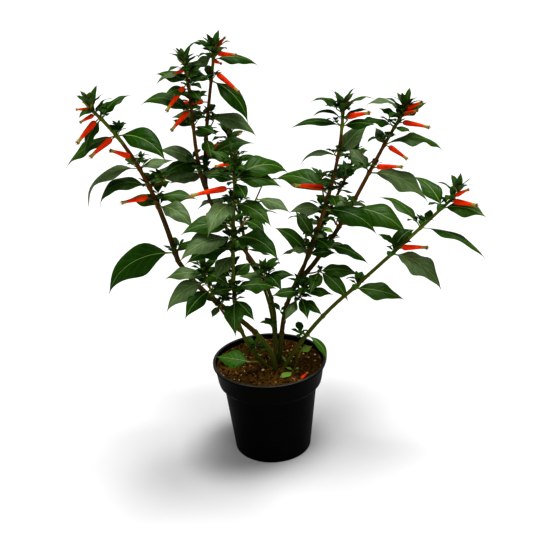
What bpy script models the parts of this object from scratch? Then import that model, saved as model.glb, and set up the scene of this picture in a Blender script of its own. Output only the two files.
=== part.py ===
"""Cuphea plant in bloom, growing in the round plastic pot that it is sold in.

Metres, +Z up. The origin is the centre of the pot's flat underside, +X is the
plant's right and -Y its front. Leafy shoots rise from the soil on bare stems.
Each bare stem and each leafy shoot is one closed solid, 0.3 mm clear of the next.
"""
import math
import random
from typing import NamedTuple

import bmesh
import bpy
from mathutils import Matrix, Vector
from mathutils.bvhtree import BVHTree

MM = 0.001
GAP = 0.3 * MM                  # left between one sub-part and the next
CLEARANCE = 0.6 * MM            # least room round a leaf of another shoot
SEED = 41

# Pot: radii and heights of the outside, from the underside to the rolled rim.
POT_HEIGHT = 112.0 * MM
POT_WALL = 1.2 * MM
POT_FLOOR = 1.6 * MM
POT_FOOT_RADIUS = 43.2 * MM
POT_WAIST_RADIUS = 53.4 * MM
POT_WAIST_Z = 80.5 * MM
BAND_RADIUS = 59.8 * MM
BAND_Z = 89.0 * MM
BAND_TOP_RADIUS = 63.0 * MM
LIP_RADIUS = 65.0 * MM
LIP_HEIGHT = 3.6 * MM
SHOULDER_RADIUS = 58.95 * MM    # the band's lower edge, rounded into the body
SHOULDER_Z = 86.0 * MM
ROUNDING = 0.7 * MM             # of the lip's edges and of the inner corners
POT_SIDES = 36
DRAIN_HOLES = 6
DRAIN_RADIUS = 4.0 * MM
DRAIN_RING_RADIUS = 31.0 * MM
DRAIN_SIDES = 10

# Soil: level round the stems, sunk a little towards the wall.
SOIL_TOP = 107.0 * MM
SOIL_SINK = 1.0 * MM
SOIL_LEVEL_RADIUS = 36.0 * MM

# Leaves: shares of the leaf's length and of its greatest half width.
LEAF_WIDTH = 0.39               # greatest width over length
TUFT_WIDTH = 0.33               # the same for the small leaves of a tuft
LEAF_THICKNESS = 0.013          # thickness over length
LEAF_LEAST_THICKNESS = 0.9 * MM
PETIOLE = 0.7 * MM              # half width of a leaf's stalk
LONG_BLADE = ((0.11, 0.16), (0.28, 0.80), (0.48, 1.0), (0.75, 0.55))
MIDDLE_BLADE = ((0.12, 0.20), (0.42, 1.0), (0.75, 0.55))
SHORT_BLADE = ((0.42, 1.0),)
LONG_LEAF = 49.0 * MM           # leaves of at least this length have the long outline
SHORT_LEAF = 34.0 * MM          # and those under this one the short outline
DROOP_PER_MM = 0.9              # degrees that a leaf bends down for each millimetre
LEAF_BOW = 1.15                 # share of its droop that a leaf has bent at its tip
LEAF_CURL = 1.3                 # over 1, the bend gathers towards the tip
LEAF_TILT = 34                  # how far a blade faces the front of the plant
ROLL_SPREAD = 10                # seeded part of a blade's turn, either way
LEAF_STEPS = 24                 # steps along a leaf's bent line
SWINGS = (0, 8, -8, 16, -16, 24, -24)

# The second leaf of a pair, where it is set by rule: opposite the first, and smaller.
MATE_SIZE = 0.8
MATE_SPREAD = 15
MATE_RISE = (5, 25)

# Tuft at a tip: crossed pairs of small leaves, the inner ones shorter and steeper.
TUFT_PAIRS = 3
TWIG_TUFT_PAIRS = 2
TUFT_PLACE = 0.99               # share of the shoot's length at the innermost pair
TUFT_STEP = 0.03
TUFT_SHRINK = 0.12
TUFT_RISE = 50
TUFT_RISE_STEP = 14
TUFT_DROOP = 75
TUFT_DROOP_STEP = 18
TUFT_SWINGS = (0, 12, -12)

# Flowers: shares of the length and radii of the stalk, the spur, the tube and the mouth.
FLOWER_RINGS = ((0.0, 0.6), (0.18, 0.7), (0.28, 2.8), (0.5, 2.8), (1.0, 1.9))
FLOWER_SIDES = 5
FLOWER_STEPS = 10
FLOWER_DROOP = 12

# Stems and twigs: sides, rings along the length, and a side twig's own radii and bend.
BOUGH_SIDES = 8
BOUGH_RINGS = 9
SHOOT_SIDES = 6
SHOOT_RING_SPACING = 20         # millimetres
TWIG_SIDES = 3
TWIG_RINGS = 5
TWIG_RADII = (1.0, 0.7)
TWIG_BEND = -20
PATH_RINGS = 13                 # points on the line that leaves and flowers start from

# A fused shoot keeps nearly the whole volume of its pieces: they overlap only at their roots.
LEAST_KEPT_VOLUME = 0.9
ROUND_EDGE_ANGLE = 50           # stems are shaded smooth up to this angle between faces
POT_EDGE_ANGLE = 30


class Limb(NamedTuple):
    """One stem. Lengths and radii are in millimetres and angles in degrees.

    `start` is (x, y) on the soil, or the limb it grows from and the share of
    that limb's length. `lean` is measured from upright at the foot, the middle
    and the tip, and `heading` from +X at the foot and the tip.
    """
    start: tuple
    length: float
    lean: tuple
    heading: tuple
    radius: tuple


class Node(NamedTuple):
    """A joint of a shoot, with a pair of leaves at a share of the shoot's length.

    A leaf is (heading, length, rise) and may name its own droop and tilt. A
    pair with only its first leaf named has the other one set by rule, and an
    empty tuple leaves it out.
    """
    at: float
    first: tuple
    second: tuple = None


class Twig(NamedTuple):
    """A short side twig that ends in a tuft of `tuft` millimetre leaves."""
    at: float
    heading: float
    rise: float
    length: float
    tuft: float = 20
    leaves: tuple = ()


class Shoot(NamedTuple):
    """A leafy shoot: its stem, pairs of leaves, flowers, side twigs and top tuft."""
    stem: Limb
    nodes: tuple
    flowers: tuple = ()
    twigs: tuple = ()
    tuft: float = 32
    tilt: float = LEAF_TILT
    broad: float = 1.0


BOUGHS = {
    "stem_front": Limb((-2, -12), 100, (38, 26, 10), (202, 245), (2.1, 1.9)),
    "stem_left": Limb((7, -19), 175, (4, 47, 35), (212, 146), (2.5, 2.3)),
    "stem_back_left": Limb((6, -9), 240, (4, 50, 0), (65, 192), (2.1, 1.9)),
    "stem_right": Limb((10, -1), 108, (14, 12, 49), (25, 14), (2.5, 2.3)),
    "stem_far_right": Limb((15, -19), 123, (29, 38, 47), (360, 345), (1.9, 1.7)),
    "stem_rear": Limb((7, 8), 125, (10, 38, 52), (84, 132), (1.8, 1.6)),
    "stem_rear_right": Limb((13, 9), 128, (23, 42, 52), (80, 44), (1.9, 1.7)),
}

SHOOTS = {
    "leaves_front": Shoot(
        stem=Limb(("stem_front", 1), 194, (19, 19, 9), (270, 296), (1.9, 1.4)),
        nodes=(
            Node(0.04, (270, 54, 5), ()),
            Node(0.06, (310, 36, -10), ()),
            Node(0.14, (15, 50, 12), (200, 30, 10)),
            Node(0.22, (150, 44, 20), (60, 40, 20)),
            Node(0.38, (245, 44, 5), (80, 46, 20)),
            Node(0.43, (200, 54, 15), ()),
            Node(0.49, (215, 68, 24), (320, 66, 28, 80)),
            Node(0.57, (195, 56, 25), (110, 40, 20)),
            Node(0.72, (245, 64, 15), (325, 48, 0)),
            Node(0.84, (290, 34, 0), ()),
            Node(0.85, (5, 48, 12, 50), (165, 28, 22)),
            Node(0.87, (25, 64, 28, 70), ()),
            Node(0.93, (165, 30, 45), (300, 22, 15)),
        ),
        flowers=((0.81, 186, 0, 42), (0.945, 205, 8, 20)),
        twigs=(Twig(0.5, 60, 20, 74, 24, ((0.35, (310, 34, 5)), (0.75, (330, 42, 5)))),),
        tuft=20,
    ),
    "leaves_low_left": Shoot(
        stem=Limb(("stem_front", 0.61), 92, (38, 24, 10), (205, 215), (1.5, 1.1)),
        nodes=(
            Node(0.45, (250, 22, 0), (330, 28, 0)),
            Node(0.7, (228, 46, -4), (20, 34, 10)),
            Node(0.82, (194, 56, -6), ()),
            Node(0.92, (310, 42, 15), (180, 44, 15)),
        ),
        flowers=((0.97, 270, 20, 12),),
        tuft=22,
    ),
    "leaves_left": Shoot(
        stem=Limb(("stem_left", 1), 194, (12, 21, 43), (201, 202), (2.5, 1.4)),
        nodes=(
            Node(0.05, (178, 97, 2, 66), (40, 40, 20)),
            Node(0.34, (322, 54, 14, 70)),
            Node(0.39, (5, 46, 15), ()),
            Node(0.46, (188, 68, 34, 105, 15), (60, 40, 10)),
            Node(0.58, (190, 80, 12, 95, 5), (30, 40, 20)),
            Node(0.8, (330, 66, 10), (186, 64, -8, 42, 10)),
            Node(0.92, (25, 40, 58, 55, 10), (215, 40, -35, 40, 20)),
        ),
        flowers=(
            (0.4, 190, 2, 34), (0.8, 217, -20, 35), (0.645, 222, 35, 30), (0.93, 228, -25, 36),
            (0.955, 225, -5, 20), (0.99, 205, 15, 15),
        ),
        twigs=(Twig(0.47, 355, 5, 16, 24), Twig(0.6, 70, 25, 10, 12), Twig(0.81, 60, 25, 7, 15)),
        tuft=34,
    ),
    "leaves_back_left": Shoot(
        stem=Limb(("stem_back_left", 0.94), 158, (36, 4, 16), (248, 242), (2.2, 1.4)),
        nodes=(
            Node(0.2, (185, 66, 20), (330, 36, 10)),
            Node(0.27, (165, 52, 40), ()),
            Node(0.55, (130, 40, 20), (325, 34, 5)),
            Node(0.64, (178, 63, 52, 78, 15), ()),
            Node(0.71, (60, 24, 40), (300, 24, 5)),
            Node(0.82, (222, 36, 12), (300, 30, -5)),
            Node(0.87, (165, 38, 30), (20, 24, 20)),
            Node(0.92, (185, 38, 20, 70, 0), (40, 24, 30)),
        ),
        flowers=((0.95, 215, 5, 16), (0.865, 226, -30, 41), (0.68, 228, -22, 36)),
        twigs=(Twig(0.68, 20, 30, 7, 14),),
        tuft=32,
    ),
    "leaves_tall": Shoot(
        stem=Limb(("stem_back_left", 1), 150, (1, 10, 13), (17, 44), (2.2, 1.5)),
        nodes=(
            Node(0.05, (195, 44, 15), (20, 40, 20)),
            Node(0.16, (213, 60, 20), (10, 64, 45)),
            Node(0.34, (100, 50, 20), (280, 40, 0)),
            Node(0.5, (355, 62, 5), (170, 44, 20)),
            Node(0.78, (335, 66, -20, 55), (168, 34, 25)),
            Node(0.93, (12, 54, 12), ()),
            Node(0.96, (205, 34, -10, 40), ()),
            Node(0.985, (188, 42, 65, 130, -10), ()),
        ),
        flowers=(
            (0.97, 340, 5, 26), (0.92, 300, 5, 18), (0.85, 325, -25, 40), (0.99, 350, 55, 20),
            (0.62, 192, 8, 36), (0.21, 315, 45, 30),
        ),
        twigs=(Twig(0.4, 20, 40, 14, 20),),
        tuft=34,
    ),
    "leaves_centre": Shoot(
        stem=Limb(("stem_back_left", 0.42), 27, (60, 40, 30), (275, 255), (1.0, 0.7)),
        nodes=(
            Node(0.55, (160, 34, 10), (350, 36, 20)),
            Node(0.85, (300, 40, 5), (90, 30, 10)),
        ),
        tuft=22,
    ),
    "leaves_right": Shoot(
        stem=Limb(("stem_right", 0.93), 199, (20, 17, 2), (359, 325), (2.2, 1.5)),
        nodes=(
            Node(0.14, (170, 50, 60, 40), (12, 34, 10)),
            Node(0.17, (220, 30, 25), ()),
            Node(0.24, (125, 42, 50, 30), (300, 34, 10)),
            Node(0.42, (343, 67, 6), (190, 40, 20)),
            Node(0.51, (150, 72, 40), (280, 34, 10)),
            Node(0.6, (35, 40, 25), (230, 30, 20)),
            Node(0.73, (190, 48, 40, 95, -10), (20, 50, 55, 30)),
            Node(0.9, (172, 56, 22, 48, 5), (340, 36, 20)),
            Node(0.97, (182, 40, 65, 85, 0), (5, 40, 62, 85, 0)),
        ),
        flowers=((0.94, 325, 22, 32), (0.98, 5, 70, 14), (0.545, 190, 18, 40)),
        twigs=(Twig(0.45, 95, 25, 36, 22), Twig(0.6, 45, -10, 22, 22), Twig(0.15, 95, 30, 44, 22)),
        tuft=34,
    ),
    "leaves_back_right": Shoot(
        stem=Limb(("stem_right", 1), 222, (49, 36, 48), (20, 37), (2.6, 1.6)),
        nodes=(
            Node(0.2, (340, 53, 0, 45, 10), (110, 40, 20)),
            Node(0.31, (230, 20, 50), (60, 40, 10)),
            Node(0.42, (333, 76, 6, 55), (130, 44, 20)),
            Node(0.62, (355, 78, -4, 50, 35), (125, 44, 45, 30)),
            Node(0.775, (5, 76, 24, 70, -5), (105, 30, 45, 30)),
            Node(0.88, (183, 52, 38, 75, 5), (305, 26, 10)),
            Node(0.93, (150, 28, 35), (0, 36, 45)),
            Node(0.97, (188, 50, 52, 75, 0), ()),
        ),
        flowers=(
            (0.98, 315, 35, 26), (0.95, 310, 28, 24), (0.91, 325, 3, 38), (0.78, 330, -22, 30),
            (0.645, 330, 14, 36),
        ),
        twigs=(
            Twig(0.02, 345, 5, 18, 10,
                 ((0.9, (318, 50, -12, 45)), (0.92, (250, 40, 0)), (0.8, (355, 50, 15)))),
        ),
        tuft=34,
    ),
    "leaves_low_right": Shoot(
        stem=Limb(("stem_right", 0.64), 34, (60, 40, 20), (320, 330), (1.1, 0.8)),
        nodes=(
            Node(0.5, (330, 34, -10), (235, 32, -15)),
            Node(0.66, (285, 32, -20), ()),
            Node(0.85, (5, 36, 5), (190, 36, 15)),
        ),
        tuft=26,
    ),
    "leaves_far_right": Shoot(
        stem=Limb(("stem_far_right", 1), 162, (45, 44, 43), (348, 343), (1.7, 1.2)),
        nodes=(
            Node(0.04, (345, 57, 4, 30), ()),
            Node(0.4, (325, 68, 2, 60), (45, 46, 50, 60)),
            Node(0.66, (322, 78, 5, 40, -25), (135, 62, 52, 60, -15)),
            Node(0.85, (322, 50, 18, 40, 45), (125, 50, 55, 50)),
        ),
        flowers=((0.45, 320, 20, 36), (0.95, 315, 40, 20), (0.91, 315, 10, 32)),
        twigs=(Twig(0.06, 60, 15, 8, 16), Twig(0.66, 70, 25, 7, 14)),
        tuft=28,
    ),
    "leaves_rim_right": Shoot(
        stem=Limb(("stem_far_right", 0.39), 7, (60, 50, 45), (300, 320), (1.1, 0.9)),
        nodes=(
            Node(0.6, (322, 40, -12, 76), (150, 18, 20)),
        ),
        tuft=0,
        broad=0.6,
    ),
    "leaves_rear": Shoot(
        stem=Limb(("stem_rear", 1), 150, (25, 18, 10), (108, 112), (1.9, 1.2)),
        nodes=(
            Node(0.08, (140, 60, 10), (330, 36, 10)),
            Node(0.26, (60, 62, 10), (240, 36, 20)),
            Node(0.35, (190, 54, 15), (20, 50, 15)),
            Node(0.44, (150, 64, 15), (340, 44, 20)),
            Node(0.62, (75, 60, 15), (255, 30, 20)),
            Node(0.7, (200, 48, 20), (35, 48, 20)),
            Node(0.78, (160, 52, 20), (345, 40, 20)),
            Node(0.9, (80, 40, 30), (250, 30, 30)),
        ),
        flowers=((0.84, 100, 0, 30), (0.95, 60, 10, 28)),
        twigs=(Twig(0.3, 110, 30, 30, 22),),
        tuft=30,
        tilt=-LEAF_TILT,
    ),
    "leaves_rear_right": Shoot(
        stem=Limb(("stem_rear_right", 1), 134, (30, 32, 20), (40, 8), (1.9, 1.3)),
        nodes=(
            Node(0.08, (20, 58, 10), (190, 40, 10)),
            Node(0.28, (110, 62, 10), (290, 34, 20)),
            Node(0.37, (70, 54, 10), (250, 30, 20)),
            Node(0.46, (30, 62, 15), (200, 40, 20)),
            Node(0.64, (120, 60, 15), (300, 30, 20)),
            Node(0.72, (75, 46, 20), ()),
            Node(0.8, (40, 50, 20), (215, 36, 20)),
            Node(0.92, (130, 36, 30), (310, 28, 30)),
        ),
        flowers=((0.82, 80, 0, 30), (0.95, 60, 5, 28)),
        tuft=30,
        tilt=-LEAF_TILT,
    ),
    "leaves_foot": Shoot(
        stem=Limb((2, -5), 25, (60, 88, 86), (178, 174), (1.0, 0.8)),
        nodes=(
            Node(0.97, (164, 42, 8, 8, 36), ()),
        ),
        tuft=0,
        broad=1.6,
    ),
    "leaves_foot_right": Shoot(
        stem=Limb((26, -27), 28, (30, 34, 36), (45, 52), (0.8, 0.7)),
        nodes=(
            Node(0.85, (28, 18, 25, 30), ()),
        ),
        tuft=0,
        broad=1.3,
    ),
}

# Base colour and roughness, as they show on the plant.
BLACK_PLASTIC = ((0.012, 0.012, 0.013), 0.42)
DAMP_SOIL = ((0.085, 0.045, 0.022), 0.95)
BROWN_STEM = ((0.16, 0.085, 0.035), 0.6)
GREEN_LEAF = ((0.022, 0.085, 0.028), 0.5)


def unit(heading, rise):
    """Return the direction with this heading and this rise over the level, in degrees."""
    h = math.radians(heading)
    r = math.radians(rise)
    return Vector((math.cos(h) * math.cos(r), math.sin(h) * math.cos(r), math.sin(r)))


def clear_scene():
    """Remove every object that the scene holds at the start."""
    for obj in list(bpy.data.objects):
        bpy.data.objects.remove(obj, do_unlink=True)


def material(name, finish):
    """Make a Principled material of one colour and roughness."""
    colour, roughness = finish
    made = bpy.data.materials.new(name)
    made.use_nodes = True
    shader = made.node_tree.nodes["Principled BSDF"]
    shader.inputs["Base Color"].default_value = (*colour, 1.0)
    shader.inputs["Roughness"].default_value = roughness
    shader.inputs["Metallic"].default_value = 0.0
    made.diffuse_color = (*colour, 1.0)
    return made


def add_object(name, verts, faces):
    """Make a mesh object with its faces turned outwards."""
    mesh = bpy.data.meshes.new(name)
    mesh.from_pydata([tuple(v) for v in verts], [], faces)
    shape = bmesh.new()
    shape.from_mesh(mesh)
    bmesh.ops.recalc_face_normals(shape, faces=shape.faces)
    shape.to_mesh(mesh)
    shape.free()
    obj = bpy.data.objects.new(name, mesh)
    bpy.context.scene.collection.objects.link(obj)
    return obj


def lathe(profile, sides):
    """Turn a closed profile of (radius, height) round Z. Its ends lie on the axis."""
    verts = []
    rings = []
    for radius, height in profile:
        if radius == 0:
            rings.append([len(verts)])
            verts.append(Vector((0, 0, height)))
            continue
        rings.append(list(range(len(verts), len(verts) + sides)))
        for i in range(sides):
            turn = math.tau * i / sides
            verts.append(Vector((radius * math.cos(turn), radius * math.sin(turn), height)))
    faces = []
    for low, high in zip(rings, rings[1:]):
        for i in range(sides):
            j = (i + 1) % sides
            if len(low) == 1:
                faces.append((low[0], high[i], high[j]))
            elif len(high) == 1:
                faces.append((low[i], low[j], high[0]))
            else:
                faces.append((low[i], low[j], high[j], high[i]))
    return verts, faces


def make_pot():
    """Lathe the pot, wall and floor, and cut its drain holes."""
    lip_base = POT_HEIGHT - LIP_HEIGHT
    inner_lip = BAND_TOP_RADIUS - POT_WALL
    profile = [
        (0, 0),
        (POT_FOOT_RADIUS, 0),
        (POT_FOOT_RADIUS + POT_WALL, POT_WALL),
        (POT_WAIST_RADIUS, POT_WAIST_Z),
        (SHOULDER_RADIUS, SHOULDER_Z),
        (BAND_RADIUS, BAND_Z),
        (BAND_TOP_RADIUS, lip_base),
        (LIP_RADIUS, lip_base + ROUNDING),
        (LIP_RADIUS, POT_HEIGHT - ROUNDING),
        (LIP_RADIUS - ROUNDING, POT_HEIGHT),
        (inner_lip + ROUNDING, POT_HEIGHT),
        (inner_lip, POT_HEIGHT - ROUNDING),
        (BAND_RADIUS - POT_WALL, BAND_Z + ROUNDING),
        (SHOULDER_RADIUS - POT_WALL, SHOULDER_Z + ROUNDING),
        (POT_WAIST_RADIUS - POT_WALL, POT_WAIST_Z + ROUNDING),
        (POT_FOOT_RADIUS, POT_FLOOR),
        (0, POT_FLOOR),
    ]
    pot = add_object("pot", *lathe(profile, POT_SIDES))
    for i in range(DRAIN_HOLES):
        turn = math.tau * (i / DRAIN_HOLES + 0.5 / POT_SIDES)
        bpy.ops.mesh.primitive_cylinder_add(
            vertices=DRAIN_SIDES, radius=DRAIN_RADIUS, depth=POT_FLOOR * 4,
            location=(DRAIN_RING_RADIUS * math.cos(turn), DRAIN_RING_RADIUS * math.sin(turn), 0))
        cutter = bpy.context.object
        cut = pot.modifiers.new("drain", "BOOLEAN")
        cut.operation = "DIFFERENCE"
        cut.solver = "EXACT"
        cut.object = cutter
        apply_modifier(pot, cut)
        bpy.data.objects.remove(cutter, do_unlink=True)
    return pot


def make_soil():
    """Lathe the soil that fills the pot, level round the stems."""
    wall = POT_WALL + GAP
    slack = GAP                 # more room where the wall leans
    edge_z = SOIL_TOP - SOIL_SINK
    share = (edge_z - BAND_Z) / (POT_HEIGHT - LIP_HEIGHT - BAND_Z)
    edge = BAND_RADIUS + (BAND_TOP_RADIUS - BAND_RADIUS) * share - wall
    profile = [
        (0, POT_FLOOR + GAP),
        (POT_FOOT_RADIUS - wall, POT_FLOOR + GAP),
        (POT_WAIST_RADIUS - wall - slack, POT_WAIST_Z),
        (SHOULDER_RADIUS - wall - slack, SHOULDER_Z + POT_WALL),
        (BAND_RADIUS - wall - slack, BAND_Z + POT_WALL),
        (edge - slack, edge_z),
        (SOIL_LEVEL_RADIUS, SOIL_TOP),
        (0, SOIL_TOP),
    ]
    return add_object("soil", *lathe(profile, POT_SIDES))


def apply_modifier(obj, modifier):
    """Apply one modifier of an object."""
    bpy.ops.object.select_all(action="DESELECT")
    obj.select_set(True)
    bpy.context.view_layer.objects.active = obj
    bpy.ops.object.modifier_apply(modifier=modifier.name)


def limb_direction(limb, s):
    """Return the direction of a limb at the share s of its length."""
    a, b, c = limb.lean
    lean = a * (1 - s) * (1 - 2 * s) + b * 4 * s * (1 - s) + c * s * (2 * s - 1)
    heading = limb.heading[0] + (limb.heading[1] - limb.heading[0]) * s
    return unit(heading, 90 - lean)


def limb_path(limb, foot, rings):
    """Follow a limb from its foot and return its points and directions."""
    step = limb.length * MM / (rings - 1)
    points = [foot]
    directions = [limb_direction(limb, 0)]
    for i in range(1, rings):
        mid = limb_direction(limb, (i - 0.5) / (rings - 1))
        points.append(points[-1] + mid * step)
        directions.append(limb_direction(limb, i / (rings - 1)))
    return points, directions


class Path:
    """The line of a grown limb, read at any share of its length."""

    def __init__(self, limb, foot, rings=PATH_RINGS):
        """Grow the limb from its foot."""
        self.limb = limb
        self.points, self.directions = limb_path(limb, foot, rings)

    def at(self, s):
        """Return the point and direction at the share s of the length."""
        place = min(max(s, 0), 1) * (len(self.points) - 1)
        i = min(int(place), len(self.points) - 2)
        t = place - i
        point = self.points[i].lerp(self.points[i + 1], t)
        return point, self.directions[i].lerp(self.directions[i + 1], t).normalized()

    def radius(self, s):
        """Return the radius at the share s of the length."""
        low, high = self.limb.radius
        return (low + (high - low) * s) * MM


def tube(points, directions, radii, sides, plane=None):
    """Return a closed tapering tube. Its first ring may be slid onto a plane.

    `plane` is a point and a normal. The ring is moved along the tube's own
    direction, so the tube starts with a flat cut in that plane.
    """
    side = directions[0].orthogonal()
    verts = []
    for point, along, radius in zip(points, directions, radii):
        side = (side - along * side.dot(along)).normalized()
        other = along.cross(side)
        for i in range(sides):
            turn = math.tau * i / sides
            verts.append(point + (side * math.cos(turn) + other * math.sin(turn)) * radius)
    if plane:
        spot, normal = plane
        along = directions[0]
        for i in range(sides):
            verts[i] = verts[i] + along * ((spot - verts[i]).dot(normal) / along.dot(normal))
    faces = [tuple(reversed(range(sides)))]
    last = len(verts) - sides
    for ring in range(0, last, sides):
        for i in range(sides):
            j = (i + 1) % sides
            faces.append((ring + i, ring + j, ring + sides + j, ring + sides + i))
    faces.append(tuple(range(last, last + sides)))
    return verts, faces


def leaf_angle(rise, droop, share):
    """Return a leaf's angle over the level at a share of its length."""
    return rise - droop * LEAF_BOW * share ** LEAF_CURL


def leaf(start, heading, length, rise, droop, roll=0.0, width=LEAF_WIDTH):
    """Return one leaf: a stalk sunk in the stem and a keeled blade that bends down.

    Args:
        start: the point on the stem's own line where the stalk begins.
        heading: the way the leaf points, in degrees from +X.
        length: from the stem's line to the tip, in metres.
        rise: the angle over the level at which it leaves the stem.
        droop: the angle by which it bends down along its length.
        roll: the blade's turn about its own line.
        width: the greatest width over the length.
    """
    if length >= LONG_LEAF:
        blade = LONG_BLADE
    else:
        blade = SHORT_BLADE if length < SHORT_LEAF else MIDDLE_BLADE
    half_width = length * width / 2
    thickness = max(LEAF_LEAST_THICKNESS, length * LEAF_THICKNESS)
    line = [start]
    for i in range(LEAF_STEPS):
        angle = leaf_angle(rise, droop, (i + 0.5) / LEAF_STEPS)
        line.append(line[-1] + unit(heading, angle) * (length / LEAF_STEPS))
    verts = []
    for share, size in ((0.0, 0.0), *blade):
        centre = line[round(share * LEAF_STEPS)]
        along = unit(heading, leaf_angle(rise, droop, share))
        side = Vector((-along.y, along.x, 0)).normalized()
        side = Matrix.Rotation(math.radians(roll), 3, along) @ side
        up = along.cross(side)
        half = max(PETIOLE, half_width * size)
        keel = thickness if size else PETIOLE * 2
        lift = keel / 3
        verts.append(centre + side * half + up * lift)
        verts.append(centre - side * half + up * lift)
        verts.append(centre - up * (keel - lift))
    verts.append(line[-1])
    faces = [(0, 2, 1)]
    tip = len(verts) - 1
    for ring in range(0, tip - 3, 3):
        for i in range(3):
            j = (i + 1) % 3
            faces.append((ring + i, ring + j, ring + 3 + j))
            faces.append((ring + i, ring + 3 + j, ring + 3 + i))
    for i in range(3):
        faces.append((tip - 3 + i, tip - 3 + (i + 1) % 3, tip))
    return verts, faces


def flower(start, heading, rise, length):
    """Return one tubular flower on its stalk, closed at the mouth."""
    line = [start]
    for i in range(FLOWER_STEPS):
        angle = rise - FLOWER_DROOP * (i + 0.5) / FLOWER_STEPS
        line.append(line[-1] + unit(heading, angle) * (length / FLOWER_STEPS))
    points = []
    directions = []
    for share, _ in FLOWER_RINGS:
        place = share * FLOWER_STEPS
        i = min(int(place), FLOWER_STEPS - 1)
        points.append(line[i].lerp(line[i + 1], place - i))
        directions.append(unit(heading, rise - FLOWER_DROOP * share))
    radii = [radius * MM for _, radius in FLOWER_RINGS]
    return tube(points, directions, radii, FLOWER_SIDES)


class Space:
    """The room taken so far, so that no shoot grows into another one."""

    def __init__(self):
        """Start with no room taken."""
        self.taken = []

    def add(self, owner, verts, faces):
        """Take the room of one closed piece for its owner."""
        self.taken.append((owner, BVHTree.FromPolygons(verts, faces), verts, *box_of(verts)))

    def is_clear(self, owner, verts, faces):
        """Tell whether a piece keeps clear of everything that others own."""
        low, high = box_of(verts)
        tree = None
        for other, other_tree, other_verts, other_low, other_high in self.taken:
            if other == owner:
                continue
            if any(low[k] > other_high[k] + CLEARANCE for k in range(3)):
                continue
            if any(high[k] < other_low[k] - CLEARANCE for k in range(3)):
                continue
            tree = tree or BVHTree.FromPolygons(verts, faces)
            if tree.overlap(other_tree):
                return False
            if any(other_tree.find_nearest(v, CLEARANCE)[0] for v in verts):
                return False
            if any(tree.find_nearest(v, CLEARANCE)[0] for v in other_verts):
                return False
        return True


def box_of(verts):
    """Return the lowest and highest corner of a set of points."""
    low = Vector(min(v[k] for v in verts) for k in range(3))
    high = Vector(max(v[k] for v in verts) for k in range(3))
    return low, high


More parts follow.
